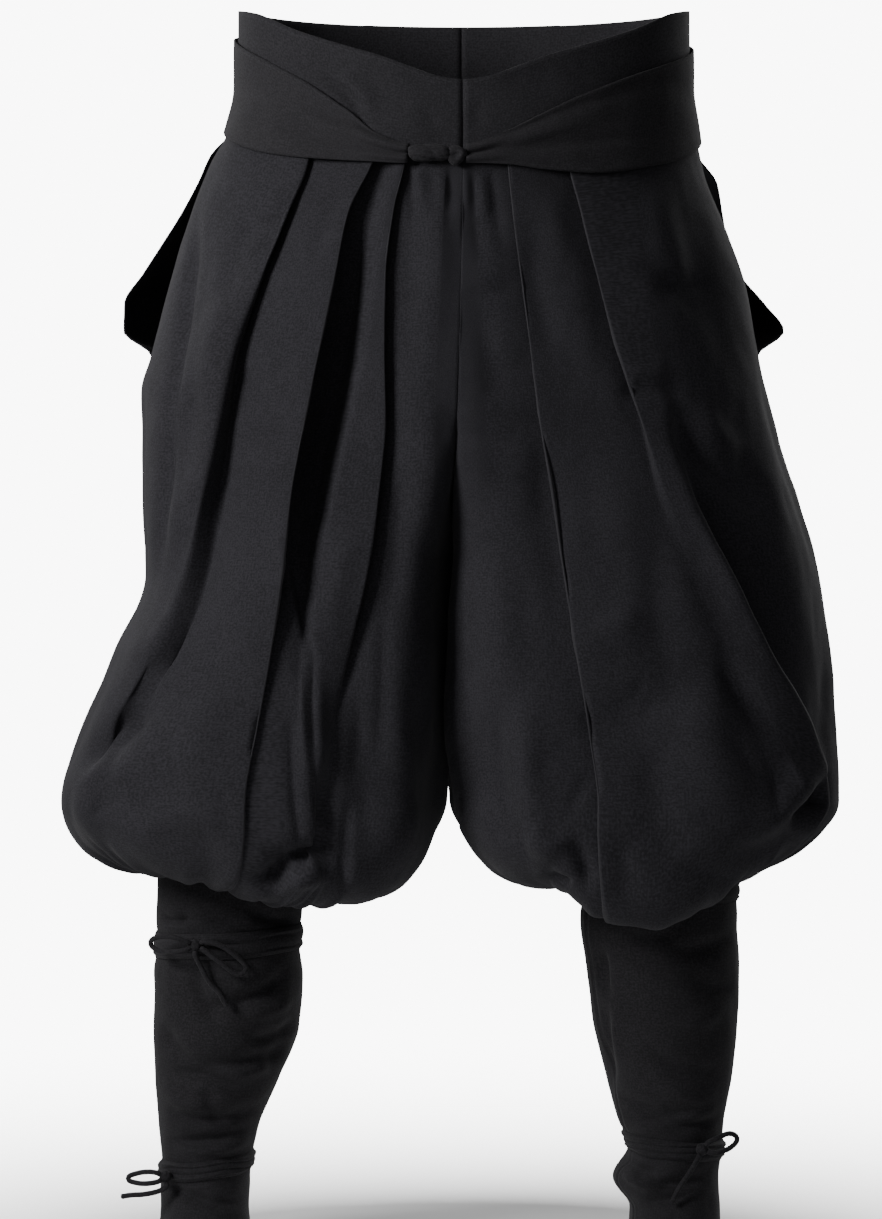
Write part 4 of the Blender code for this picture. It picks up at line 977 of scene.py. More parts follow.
# Creases of the panels: from x and z, to x and z, bend, half width, depth
panelCreases = {
    ("right", "front"): strokes(
        (-171, -228, -130, -223, 2, 6, -1.2), (-171, -278, -125, -276, -2, 7, -1.2),
        (-166, -297, -135, -300, 0, 9, 1), (-197, -98, -223, -237, 6, 16, -3),
        (-211, -228, -230, -324, -4, 14, -2.8), (-183, -165, -197, -247, 3, 12, 2.2),
        (-166, -98, -183, -165, 2, 10, -1.8), (-190, -304, -235, -424, 6, 16, -3),
        (-255, -448, -293, -523, -4, 18, -4), (-211, -419, -257, -511, 4, 20, 3),
        (-283, -532, -231, -503, 6, 14, 2.6), (-276, -559, -197, -535, 8, 18, -3),
        (-197, -477, -211, -578, 4, 16, 2.2), (-235, -578, -183, -607, -6, 16, -3.2),
        (-154, -619, -137, -599, 4, 9, -11), (-139, -599, -106, -583, 6, 8, -9),
        (-144, -621, -106, -611, -3, 8, 5), (-106, -530, -100, -611, 3, 8, -4.2),
        (-125, -463, -115, -544, -3, 12, 2.6), (-89, -559, -92, -631, 1, 5, -3.4),
        (-67, -477, -72, -611, 6, 16, -3.4), (-43, -506, -48, -602, -4, 14, 3),
        (-29, -467, -33, -578, 2, 10, -2.4), (-87, -352, -101, -424, 3, 10, 2),
        (-44, -304, -54, -410, 2, 8, -1.8), (-39, -98, -41, -208, 2, 10, -1.6),
        (-20, -84, -17, -180, 0, 9, 1.4), (-29, -247, -27, -371, -3, 12, 1.8),
        (-41, -69, -38, -108, 0, 4.5, -1.8), (-33, -68, -31, -98, 0, 4, 1.8),
        (-25, -66, -23, -112, 0, 5.5, -1.2), (-16, -69, -15, -96, 0, 4, 1.8),
        (-10, -66, -12, -118, 0, 5, -0.9), (-130, -84, -159, -141, 3, 10, -1.8),
        (-96, -84, -115, -141, 2, 8, -1.4), (-210, -90, -229, -270, 1, 4, -3),
        (-229, -270, -237, -372, 1, 4, -3.4), (-236, -440, -255, -496, 2, 11, -5),
        (-252, -493, -300, -530, 3, 9, -6), (-138, -360, -119, -443, 2, 6, 1.6),
        (-134, -360, -115, -443, 2, 3.5, -2.6), (-115, -443, -114, -533, 1, 3.5, -2.6),
        (-119, -443, -118, -533, 1, 6, 1.6), (-114, -533, -108, -582, 1, 3.5, -2.2),
        (-288, -568, -269, -548, 1, 4, -1.2), (-263, -506, -226, -469, 3, 4, -1.1),
        (-188, -543, -181, -585, -2, 4.5, -1.2), (-131, -494, -122, -602, 3, 4, -1.5),
        (-116, -427, -110, -552, 3, 3.5, -1.6), (-107, -556, -93, -576, 2, 4.5, -1.6),
        (-81, -477, -87, -543, -2, 6, -1.8), (-60, -406, -60, -552, 2, 5, -1.4),
    ),
    ("left", "front"): strokes(
        (1, -165, 45, -158, 1, 3.5, -1.4), (1, -271, 52, -276, 2, 4, -1.4),
        (2, -252, 57, -254, 0, 6, 1), (8, -80, 15, -142, 1, 6, -1.2), (14, -72, 17, -103, 0, 4, 1.6),
        (22, -66, 30, -126, 1, 5.5, -1.2), (2, -69, 4, -98, 0, 4, 1.4),
        (17, -170, 28, -247, 3, 10, -1.6), (9, -208, 14, -324, 2, 12, 1.4),
        (52, -112, 67, -208, 2, 10, -1.6), (67, -84, 79, -141, 0, 10, 1.4),
        (79, -146, 112, -247, 3, 16, 1.6), (148, -151, 189, -150, 4, 6, -2),
        (117, -139, 168, -157, 3, 7, 1.4), (153, -157, 182, -175, -3, 8, -1.8),
        (124, -240, 170, -243, -6, 6, -2.2), (129, -223, 153, -228, 3, 6, 1.2),
        (177, -84, 204, -208, 4, 14, -2.2), (148, -84, 168, -141, 3, 14, 1.8),
        (165, -266, 218, -319, 6, 10, -3.4), (182, -256, 225, -285, 4, 10, 2),
        (211, -247, 240, -352, 4, 14, -2.6), (235, -304, 268, -443, 6, 14, 2.6),
        (172, -338, 220, -448, 4, 14, -2.4), (62, -276, 76, -400, 3, 14, -1.8),
        (120, -304, 148, -419, 4, 20, 2.2), (144, -352, 160, -467, 3, 16, -2.4),
        (88, -439, 136, -403, 6, 18, 2.2), (100, -496, 187, -448, 8, 20, -2.6),
        (199, -448, 261, -513, 6, 14, -3.6), (182, -467, 211, -563, 6, 20, 3.2),
        (144, -506, 163, -611, 4, 18, -2.8), (208, -602, 264, -568, 6, 14, -4.2),
        (261, -573, 288, -542, 4, 10, -10), (235, -583, 283, -523, -4, 12, 4),
        (168, -607, 216, -628, -6, 14, -3), (124, -583, 129, -635, 3, 10, -2.4),
        (28, -472, 36, -585, 6, 16, -3.6), (48, -491, 58, -578, 4, 12, 3),
        (4, -419, 17, -559, 5, 14, -3), (64, -612, 84, -619, 3, 6, -5.5),
        (86, -585, 96, -622, -2, 6, -4.5), (52, -578, 76, -592, 4, 9, 4),
        (24, -371, 28, -458, -3, 14, 2), (123, -483, 138, -459, 2, 3.5, -1),
        (138, -490, 148, -473, 1, 3.5, -0.9), (198, -448, 227, -498, 3, 4, -1.4),
        (208, -506, 231, -543, 2, 4, -1.3), (235, -527, 242, -568, -2, 4.5, -1.4),
        (252, -522, 268, -552, 2, 4.5, 1.2), (24, -477, 36, -593, 3, 4, -1.4),
        (36, -552, 51, -601, 2, 4, -1.3), (94, -535, 78, -568, -2, 4.5, -1.2),
        (102, -420, 132, -409, 2, 5, 1),
    ),
    ("right", "back"): strokes(
        (-150, -80, -170, -230, 4, 12, -2.2), (-95, -60, -100, -190, 2, 10, -1.6),
        (-30, -50, -34, -210, -2, 12, 1.8), (-60, -260, -72, -430, 4, 16, -2.6),
        (-190, -230, -235, -400, 8, 18, -3.6), (-150, -300, -165, -500, -4, 16, 2.4),
        (-225, -400, -285, -520, 6, 16, -3.4), (-110, -420, -130, -590, 5, 14, -3.2),
        (-50, -440, -56, -600, -3, 14, 3), (-180, -520, -150, -610, 4, 12, -4.4),
        (-245, -555, -180, -600, -6, 14, -4), (-90, -560, -120, -620, 3, 9, -7),
        (-32, -300, -30, -390, 2, 10, -1.8), (-75, -130, -125, -128, 2, 5, -1.1),
    ),
    ("left", "back"): strokes(
        (140, -70, 165, -220, -4, 13, -2.4), (80, -50, 88, -170, 2, 10, 1.4),
        (36, -60, 40, -250, 3, 12, -1.8), (70, -290, 90, -460, -4, 16, 2.6),
        (200, -240, 250, -390, -8, 18, -3.4), (135, -320, 150, -520, 5, 16, -2.8),
        (230, -420, 275, -540, -5, 15, 3), (105, -450, 110, -600, -4, 13, -3.4),
        (50, -430, 46, -590, 3, 14, -3), (170, -510, 195, -605, -4, 13, -4.2),
        (250, -560, 190, -610, 6, 13, -4), (75, -570, 105, -625, 3, 9, -6.6),
        (20, -280, 28, -400, -2, 10, 1.8), (60, -185, 120, -190, 2, 5, -1.1),
    ),
}
# The same as seen from the outer side, with y in place of x
sideCreases = {
    "right": strokes(
        (32, -238, 62, -400, 6, 14, -2.4), (-34, -232, -54, -385, -4, 12, -2.2),
        (12, -335, -24, -480, 4, 14, 2), (72, -420, 28, -556, 6, 16, -2.6),
        (-66, -446, -22, -570, 5, 15, -2.6), (94, -300, 102, -445, -4, 14, 2),
        (-80, -556, -36, -592, 4, 10, -2.6),
    ),
    "left": strokes(
        (24, -250, 40, -420, -5, 13, -2.4), (-42, -222, -30, -370, 5, 13, -2.2),
        (-80, -300, -62, -450, 4, 14, 2), (82, -360, 58, -520, -6, 16, -2.6),
        (-30, -430, -50, -560, 5, 14, -2.4), (18, -470, 36, -584, 4, 12, 2),
        (92, -552, 40, -590, -4, 10, -2.6),
    ),
}
panelSheets = {
    ("right", "front"): {"flat": (0.66, 0.66), "area": 0.34, "seed": 3.1},
    ("left", "front"): {"flat": (0.62, 0.66), "area": 0.33, "seed": 7.7},
    ("right", "back"): {"flat": (0.62, 0.70), "area": 0.34, "seed": 12.4},
    ("left", "back"): {"flat": (0.62, 0.70), "area": 0.34, "seed": 18.9},
}


def addPanels():
    for leg in ("right", "left"):
        for face in ("front", "back"):
            rows, marks, steps = panelRows(leg, face)
            cloth, own = clothGrid(rows, marks)
            layFolds(cloth, own, face, panelCreases[leg, face], panelSheets[leg, face]["seed"], steps)
            name = face + leg.capitalize() + "Panel"
            piece = addPiece(name, finishMesh(name, cloth), panelFinish,
                             [f"{face}_{leg}_side", f"{face}_{leg}_centre"])
            addWall(piece, panelCut["wall"])
            print(f"{name}: {len(rows)} rows of {len(rows[0])} points")


# Waistband: two halves, sewn together at the centre front and the centre back
bandCut = {"wall": 0.0020, "gap": -0.0004, "columns": 120, "rows": 22, "waistHalf": 0.18,
           "rumpled": 0.35, "seed": {"right": 2.2, "left": 5.9}, "creaseGain": 1.5}
bandCreases = strokes(
    (-106, 5, -78, -26, -4.5, 4, -4.2), (-98, 6, -70, -18, -4.5, 7, 2.4),
    (-87, -36, -44, -49, 1, 4, -1.6), (-73, -31, -41, -46, 1, 4, 1.2), (-48, 10, -20, 4, 1, 6, -1),
    (29, 5, 77, 1, 2, 10, -1), (60, 30, 110, 48, 2, 8, -1), (-30, -20, -12, -48, 1, 6, -1),
    (12, -12, 6, -48, 1, 6, -1),
)


def waistPoint(turn, z, lift):
    # turn counts quarters from the centre front, to the wearer's left if it is positive
    leg = "left" if turn >= 0 else "right"
    angle = abs(turn) * pi / 2
    face = "front" if abs(turn) <= 1 else "back"
    hull = hulls[leg]
    side = readTable(hull["side"], z)
    full = readTable(hull["full"], z)
    across = side * sin(angle)
    rounding = hullRounding(z)
    past = max(across - full, 0.0) / (side - full)
    out = readTable(hull[face], z) * sin(acos(min(past ** (1 / rounding), 1.0))) ** rounding
    forward = out + lift * abs(cos(angle))
    y = -forward if face == "front" else forward
    return Vector((signOf[leg] * (across + lift * sin(angle)), y, z))


def addBandPiece(name, rows, creases, cut, leg, finish, node):
    # a sheet that lies on the body, so its creases are shallow
    cloth, own = clothGrid(rows)
    rows, columns = max(own.values())
    cloth.normal_update()
    facing = sum(vert.normal.dot(Vector((vert.co.x, vert.co.y, 0.0))) for vert in cloth.verts)
    turned = 1.0 if facing > 0 else -1.0
    for vert in cloth.verts:
        row, column = own[vert.index]
        front = smoothStep(0.0, 0.03, -vert.co.y)
        amount = creaseDepth(creases, vert.co.x, vert.co.z, bandCut["creaseGain"]) * front
        amount += cut["rumpled"] * rumple(vert.co, cut["seed"][leg])
        amount *= smoothStep(0, 2, min(row, rows - row)) * smoothStep(0, 2, min(column, columns - column))
        vert.co += vert.normal * turned * amount
    piece = addPiece(name, finishMesh(name, cloth), finish, [node])
    addWall(piece, cut["wall"])
    return piece


def addWaistbands():
    tops = columnsOf(bandColumns, bandEdges)["top"]
    clear = panelCut["seamGap"] / 2 / bandCut["waistHalf"]
    for leg in ("right", "left"):
        def point(along, down):
            share = clear + (2 - 2 * clear) * along
            bottom = panelTop(min(share, 1.0)) + bandCut["gap"]
            top = readTable(tops, share)
            return waistPoint(signOf[leg] * share, top + (bottom - top) * down, 0.0)

        piece = addBandPiece("waistband" + leg.capitalize(), gridRows(bandCut, point), bandCreases,
                             bandCut, leg, bandFinish, f"waistband_{leg}")
    print("waistband made")


# Back board: a stiff trapezoid covered with the same cloth
boardCut = {"bottom": -0.004, "top": 0.0745, "wideBelow": 0.40, "wideAbove": 0.29, "wall": 0.0040,
            "gap": 0.0030, "rows": 22, "columns": 60, "edge": 0.0013, "rumpled": 0.15,
            "seed": {"middle": 9.3}}


def boardShare(z):
    up = (z - boardCut["bottom"]) / (boardCut["top"] - boardCut["bottom"])
    return boardCut["wideBelow"] + (boardCut["wideAbove"] - boardCut["wideBelow"]) * up


def addBackBoard():
    lift = bandCut["wall"] / 2 + 4 * panelCut["seamGap"] + boardCut["wall"] / 2

    def point(along, down):
        z = boardCut["top"] + (boardCut["bottom"] - boardCut["top"]) * down
        half = boardShare(z)
        share = 2 - half + 2 * half * along
        return waistPoint(share if share <= 2 else share - 4, z, lift)

    piece = addBandPiece("backBoard", gridRows(boardCut, point), (), boardCut, "middle", bandFinish,
                         "back_board")
    bevel = piece.modifiers.new("rolledEdge", "BEVEL")
    bevel.width = boardCut["edge"]
    bevel.segments = 3
    bevel.limit_method = "ANGLE"
    print("back board made")


# Waist ties: from the board over the waistband to the knot, squeezed into ridges there
tieCut = {"wall": 0.0018, "lift": 0.0037, "columns": 170, "rows": 30, "ridges": 2, "drift": 0.10,
          "rumpled": 0.4, "seed": {"right": 4.4, "left": 8.2}}
tieCreases = strokes(
    (-150, 4, -60, -40, 2, 5, -1.2), (-130, -20, -52, -50, 1, 4, 1), (-165, -30, -60, -56, -2, 4, -1),
    (120, -6, 20, -50, 3, 5, -1.2), (135, -40, 24, -58, 2, 5, -1.2), (95, -30, 22, -53, 1, 4, 1),
    (170, 10, 110, -10, 3, 8, -1),
)


def addWaistTies():
    for leg, edges in (("right", rightTie), ("left", leftTie)):
        table = columnsOf(tieColumns, edges)
        start, end = edges[0][0], edges[-1][0]

        def point(along, down):
            share = start + (end - start) * along
            top = readTable(table["top"], share)
            z = top + (readTable(table["bottom"], share) - top) * down
            reach = 2 - boardShare(z) - boardCut["gap"]
            drift = tieCut["drift"] * sin(9.0 * along) * down * (1 - down)
            wave = 1 - cos(2 * pi * tieCut["ridges"] * (down + drift))
            lift = tieCut["lift"] + readTable(table["crumple"], share) * wave / 2
            return waistPoint(signOf[leg] * (start + (reach - start) * along), z, lift)

        piece = addBandPiece("waistTie" + leg.capitalize(), gridRows(tieCut, point), tieCreases,
                             tieCut, leg, tieFinish, f"tie_{leg}")
    print("waist ties made")


# Knots: a ball drawn out along X with the windings of a tie pressed into it. The loop at the waist
# has a hollow with a rim, seen from the front, and is narrower at one end
knotShapes = {
    "waistKnot": {"middle": (-0.0263, -0.1300, -0.0550), "size": (0.0355, 0.0135, 0.0145),
                  "square": 0.36, "turns": 0.9, "groove": 0.20, "slant": 0.8, "pleats": 0.050},
    "waistKnotTip": {"middle": (-0.0046, -0.1300, -0.0565), "size": (0.0160, 0.0105, 0.0150),
                     "square": 0.9, "turns": 0.6, "groove": 0.05, "slant": 1.0, "dent": 0.55,
                     "taper": 0.30, "tilt": -0.35},
    "kneeKnotRight": {"middle": (-0.2100, -0.0597, -0.6715), "size": (0.0104, 0.0104, 0.0104),
                      "square": 0.9, "turns": 1.5, "groove": 0.11, "slant": 2.0},
    "ankleKnotRight": {"middle": (-0.2355, -0.0275, -0.8575), "size": (0.0104, 0.0104, 0.0104),
                       "square": 0.9, "turns": 1.4, "groove": 0.11, "slant": -2.0},
    "ankleKnotLeft": {"middle": (0.1900, -0.0373, -0.8345), "size": (0.0104, 0.0104, 0.0104),
                      "square": 0.9, "turns": 1.6, "groove": 0.11, "slant": 2.4},
}
knotCut = {"around": 56, "along": 40, "uneven": 0.03, "lumps": 2.3, "largest": 1.02,
           "pleatTurns": (9, 5), "hollowAt": -0.10, "hollowWide": 0.48, "hollowHigh": 0.42}


def nodeName(name):
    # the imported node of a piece: waistKnotTip is waist_knot_tip
    return "".join("_" + letter.lower() if letter.isupper() else letter for letter in name)


def addKnot(name, finish):
    shape = knotShapes[name]
    ball = bmesh.new()
    bmesh.ops.create_uvsphere(ball, u_segments=knotCut["around"], v_segments=knotCut["along"], radius=1.0)
    bmesh.ops.rotate(ball, verts=ball.verts, matrix=Matrix.Rotation(pi / 2, 3, "Y"))
    for vert in ball.verts:
        along = vert.co.x
        ring = hypot(vert.co.y, vert.co.z)
        if 1e-4 < ring < 1:
            fuller = ring ** shape["square"] / ring
            vert.co.y *= fuller
            vert.co.z *= fuller
        turn = shape["turns"] * pi * along + shape["slant"] * vert.co.z + 0.5 * vert.co.y
        around = atan2(vert.co.z, -vert.co.y)
        wound = shape["groove"] * (0.4 - 0.6 * abs(sin(turn)) ** 0.7)
        size = 1 - shape["groove"] * 0.5 - wound
        size += knotCut["uneven"] * noise.noise(vert.co * knotCut["lumps"])
        pleat = sin(knotCut["pleatTurns"][0] * around + knotCut["pleatTurns"][1] * along)
        size += shape.get("pleats", 0.0) * pleat * (1 - along ** 4)
        vert.co *= min(size, knotCut["largest"])
        if "dent" in shape:
            off = (vert.co.x - knotCut["hollowAt"]) / knotCut["hollowWide"]
            hollow = exp(-off ** 2 - (vert.co.z / knotCut["hollowHigh"]) ** 2)
            if vert.co.y < 0:
                vert.co.y += shape["dent"] * hollow
            vert.co.z *= 1 - shape["taper"] * vert.co.x
    bmesh.ops.scale(ball, verts=ball.verts, vec=[side / 2 for side in shape["size"]])
    bmesh.ops.rotate(ball, verts=ball.verts, matrix=Matrix.Rotation(shape.get("tilt", 0.0), 3, "Y"))
    bmesh.ops.translate(ball, verts=ball.verts, vec=shape["middle"])
    addPiece(name, finishMesh(name, ball), finish, [nodeName(name)])


# Fitted lower legs: narrow tubes with a seam down the inner side and wrinkles round them
lowerLegs = {"wall": 0.0012, "top": -0.596, "hem": -0.915, "columns": 128, "rows": 170,
             "seed": {"right": 21.0, "left": 27.0}, "creaseGain": 2.3, "rumpled": 1.1, "behind": 0.17,
             "seam": {"right": 3.5, "left": 2.75}, "round": 0.05, "groove": (0.0011, 0.0, 0.0011),
             "ridge": (0.0007, 0.0035, 0.002), "wrapFade": 0.010, "gatherFade": (-0.004, -0.030),
             "front": (-0.2, 0.4), "calm": 0.35, "ends": (-1, 4)}
lowerLegCreases = {
    "right": strokes(
        (-237, -652, -216, -650, 3, 4, -3), (-235, -661, -206, -657, 2, 4, 2),
        (-201, -651, -157, -663, 4, 6, -2), (-167, -643, -133, -656, 3, 6, -2.2),
        (-211, -695, -192, -734, 4, 7, -2.4), (-177, -715, -140, -695, 4, 6, -2.6),
        (-170, -727, -135, -715, 3, 6, 1.8), (-167, -747, -130, -734, 4, 6, -2.6),
        (-201, -720, -170, -715, 2, 6, -1.8), (-216, -764, -147, -756, 6, 7, -2.4),
        (-194, -774, -142, -764, 3, 6, 1.8), (-235, -775, -174, -786, -5, 6, -2.8),
        (-235, -739, -216, -766, 3, 7, -2.2), (-224, -809, -165, -804, 4, 6, -2.6),
        (-231, -796, -201, -801, 2, 5, 1.8), (-233, -829, -171, -819, 3, 5, -2.6),
        (-221, -838, -172, -831, 2, 4, 1.8), (-201, -786, -194, -813, 2, 6, -1.6),
        (-155, -774, -135, -749, -3, 6, -2), (-232, -865, -201, -875, 2, 5, -2),
        (-216, -875, -172, -877, 2, 5, -1.8),
    ),
    "left": strokes(
        (111, -678, 117, -715, 1, 4, -3), (117, -715, 121, -798, 2, 4, -2.4),
        (116, -695, 123, -764, 1, 5, 1.6), (167, -676, 216, -666, 4, 7, -2),
        (133, -666, 167, -661, 3, 6, -1.8), (182, -695, 213, -710, 3, 7, -1.8),
        (172, -734, 209, -720, 4, 8, 1.6), (153, -759, 202, -774, 5, 7, -1.8),
        (133, -796, 187, -808, 4, 6, -2.2), (138, -811, 202, -813, 3, 5, -2.6),
        (143, -819, 202, -803, 2, 5, 2), (157, -784, 197, -796, 3, 6, 1.6),
        (121, -838, 153, -855, 4, 6, -3), (128, -852, 157, -865, 3, 5, 2.2),
        (153, -862, 192, -857, 2, 5, -2.6), (148, -875, 187, -870, 2, 5, -2.2),
    ),
}
# Behind, a crease's place across counts round the leg from its outer side
hiddenCreases = {
    "right": strokes(
        (10, -690, 70, -700, 4, 7, -2.4), (150, -720, 90, -745, 4, 7, -2.4),
        (20, -770, 120, -785, 5, 7, -2.2), (60, -805, 150, -800, 3, 6, -2.2),
        (30, -828, 130, -834, 3, 5, -2.2),
    ),
    "left": strokes(
        (20, -685, 90, -700, 4, 7, -2.2), (140, -735, 70, -750, 4, 7, -2.4),
        (30, -780, 110, -772, 5, 7, -2.2), (50, -808, 150, -802, 3, 6, -2.2),
        (40, -860, 120, -868, 3, 6, -2.6),
    ),
}


def shinPoint(leg, z, angle, lift):
    shin = shins[leg]
    across = readTable(shin["middle"], z) + (readTable(shin["wide"], z) + lift) * cos(angle)
    y = readTable(shin["behind"], z) - (readTable(shin["deep"], z) + lift) * sin(angle)
    return Vector((signOf[leg] * across, y, z))


def mound(off, height, middle, half):
    return height * exp(-((off - middle) / half) ** 2)


def shinAmount(leg, angle, point, held):
    # creases in front and behind, the seam's groove and ridge, calm under a wound tie
    z = point.z
    free = smoothStep(*(panelCut["gather"] + off for off in lowerLegs["gatherFade"]), z)
    for wrap in held:
        free *= smoothStep(0.0, lowerLegs["wrapFade"], abs(z - wrap["z"]) - wrap["half"])
    front = smoothStep(*lowerLegs["front"], sin(angle))
    behind = (2 * pi - angle) / pi * lowerLegs["behind"] if angle > pi else -1.0
    gain = lowerLegs["creaseGain"]
    amount = creaseDepth(lowerLegCreases[leg], point.x, z, gain) * front
    amount += creaseDepth(hiddenCreases[leg], behind, z, gain) * (1 - front)
    amount += lowerLegs["rumpled"] * rumple(point, lowerLegs["seed"][leg])
    off = abs(angle - lowerLegs["seam"][leg]) * lowerLegs["round"]
    amount += mound(off, *lowerLegs["ridge"]) - mound(off, *lowerLegs["groove"])
    calm = lowerLegs["calm"]
    return amount * (free if amount > 0 else calm + (1 - calm) * free)


def addLowerLegs():
    for leg in ("right", "left"):
        count, side = lowerLegs["rows"], lowerLegs["columns"]
        rows = []
        for j in range(count + 1):
            z = lowerLegs["top"] + (lowerLegs["hem"] - lowerLegs["top"]) * j / count
            ring = [shinPoint(leg, z, 2 * pi * i / side, 0.0) for i in range(side)]
            rows.append(ring + ring[:1])
        cloth, own = clothGrid(rows)
        held = [wrap for wrap in wraps.values() if wrap["leg"] == leg]
        for vert in cloth.verts:
            row, column = own[vert.index]
            angle = 2 * pi * column / side
            amount = shinAmount(leg, angle, vert.co, held)
            outward = shinPoint(leg, vert.co.z, angle, 1.0) - shinPoint(leg, vert.co.z, angle, 0.0)
            first, full = lowerLegs["ends"]
            vert.co += outward * amount * smoothStep(first, full, min(row, full + count - row))
        closeTube(cloth)
        name = "lowerLeg" + leg.capitalize()
        piece = addPiece(name, finishMesh(name, cloth), legFinish, [f"shin_{leg}"])
        addWall(piece, lowerLegs["wall"])
    print("fitted lower legs made")


# Ties wound round the lower legs: flat bands crumpled into strands and bunched at their knot
wraps = {
    "kneeTieRight": {"leg": "right", "z": -0.672, "half": 0.0105, "strands": 2, "knot": 1.15,
                     "tilt": 0.0035},
    "kneeTieLeft": {"leg": "left", "z": -0.631, "half": 0.0085, "strands": 2, "knot": 9.0,
                    "tilt": 0.0010},
    "ankleTieRight": {"leg": "right", "z": -0.852, "half": 0.0075, "strands": 3, "knot": 0.69,
                      "tilt": 0.0040},
    "ankleTieLeft": {"leg": "left", "z": -0.836, "half": 0.0075, "strands": 3, "knot": 1.09,
                     "tilt": 0.0040},
}
wrapCut = {"thick": 0.0040, "sides": 120, "rows": 30, "spread": 0.92, "over": 0.0004, "least": 0.06,
           "body": 0.20, "strand": 0.42, "bunch": (0.36, 0.30), "drift": (0.22, 0.12),
           "wander": (0.0010, 0.0005)}


def addWrap(name):
    wrap = wraps[name]
    leg, middle, half, tilt = wrap["leg"], wrap["z"], wrap["half"], wrap["tilt"]
    low = 2 * panelCut["seamGap"] + lowerLegs["wall"] / 2
    angles = [2 * pi * i / wrapCut["sides"] for i in range(wrapCut["sides"])]
    bunchHigh, bunchWide = wrapCut["bunch"]
    rows = []
    for j in range(wrapCut["rows"] + 1):
        place = 1 - 2 * j / wrapCut["rows"]
        ends = smoothStep(0.0, 0.35, 1 - abs(place))
        ring = []
        for angle in angles:
            twice, often = sin(2 * angle + middle * 50), sin(5 * angle)
            drift = wrapCut["drift"][0] * twice + wrapCut["drift"][1] * often
            strand = wrapCut["strand"] * abs(cos(pi * wrap["strands"] * (place + drift) / 2)) ** 0.6
            body = wrapCut["body"] + strand + mound(angle, bunchHigh, wrap["knot"], bunchWide)
            lift = low + wrapCut["thick"] * (wrapCut["least"] + ends * body)
            wander = wrapCut["wander"][0] * sin(2 * angle + 1.1)
            wander += wrapCut["wander"][1] * sin(5 * angle + middle * 90) - tilt * cos(angle)
            up = place * (half + wrapCut["over"]) * wrapCut["spread"] + wander
            ring.append(shinPoint(leg, middle + up, angle, lift))
        rows.append(ring + ring[:1])
    for up in (-wrapCut["spread"], 0.0, wrapCut["spread"]):
        ring = [shinPoint(leg, middle + up * half - tilt * cos(angle), angle, low) for angle in angles]
        rows.append(ring + ring[:1])
    cloth, own = clothGrid(rows + rows[:1])
    closeTube(cloth)
    addPiece(name, finishMesh(name, cloth), legFinish, [nodeName(name)])


# Free ends of the ties below the knee. A route goes right, forwards and up from its knot
cordCut = {"thick": 0.0042, "clear": 0.0055, "lead": 0.0025, "steps": 4}
cords = {
    "kneeLoopOuter": {"knot": "kneeKnotRight", "length": 0.081, "end": "object", "route": (
        (-6, 3, 3), (-18, 3, 7), (-31, -6, 6), (-36, -13, 0), (-28, -8, -5), (-16, 2, -5), (-6, 3, -3))},
    "kneeLoopInner": {"knot": "kneeKnotRight", "length": 0.090, "end": "object", "route": (
        (6, 3, 3), (20, 3, 0), (33, 2, -9), (40, 0, -18), (34, 1, -23), (21, 3, -14), (6, 3, -3))},
    "kneeTail": {"knot": "kneeKnotRight", "length": 0.050, "end": "bare", "route": (
        (0, 3, -6), (4, 1, -16), (11, 0, -29), (19, -1, -38), (24, -1, -47))},
    "ankleLoopRight": {"knot": "ankleKnotRight", "length": 0.059, "end": "object", "route": (
        (-6, 2, 3), (-14, 1, 4), (-24, -3, 2), (-30, -5, -2), (-23, -1, -5), (-14, 3, -5), (-5, 4, -3))},
    "ankleTailRight": {"knot": "ankleKnotRight", "length": 0.042, "end": "bare", "route": (
        (1, 3, -6), (-6, 2, -11.5), (-18, 0, -14), (-28, -3, -15), (-35, -6, -16.5))},
    "ankleLoopLeft": {"knot": "ankleKnotLeft", "length": 0.062, "end": "object", "route": (
        (4, 3, 5), (12, 2, 9), (22, -4, 12), (28, -7, 8), (24, -3, 2), (14, 3, -2), (6, 3, -2))},
    "ankleTailLeft": {"knot": "ankleKnotLeft", "length": 0.044, "end": "bare", "route": (
        (-3, 3, -6), (-10, 3, -18), (-18, 2, -30), (-24, 2, -42))},
}


def smoothRoute(points):
    route = []
    for i in range(len(points) - 1):
        before = points[max(i - 1, 0)]
        after = points[min(i + 2, len(points) - 1)]
        run = (points[i + 1] - points[i]).length
        startPull = (points[i + 1] - before).normalized() * run
        endPull = (after - points[i]).normalized() * run
        for step in range(cordCut["steps"]):
            t = step / cordCut["steps"]
            route.append(points[i] * (1 + 2 * t) * (1 - t) ** 2 + startPull * t * (1 - t) ** 2
                         + points[i + 1] * t * t * (3 - 2 * t) - endPull * t * t * (1 - t))
    route.append(points[-1])
    return route


def addCord(name):
    cord = cords[name]
    knot = Vector(knotShapes[cord["knot"]]["middle"])
    clear, lead = cordCut["clear"], cordCut["lead"]
    offsets = [Vector((right, -forwards, up)) for right, forwards, up in strokes(*cord["route"])]
    offsets[0] = offsets[0].normalized() * clear
    offsets.insert(1, offsets[0] * (1 + lead / clear))
    if cord["end"] == "object":
        offsets[-1] = offsets[-1].normalized() * clear
        offsets.insert(-1, offsets[-1] * (1 + lead / clear))
    route = smoothRoute([knot + offset for offset in offsets])
    curve = bpy.data.curves.new(name, "CURVE")
    curve.dimensions = "3D"
    curve.bevel_depth = cordCut["thick"] / 2
    curve.bevel_resolution = 5
    curve.use_fill_caps = True
    spline = curve.splines.new("POLY")
    spline.points.add(len(route) - 1)
    for place, point in zip(spline.points, route):
        place.co = (*point, 1.0)
    piece = addPiece(name, curve, cordFinish, [nodeName(name)])
    measured = sum((b - a).length for a, b in zip(route, route[1:]))
    print(f"{name}: {measured:.4f} m long")


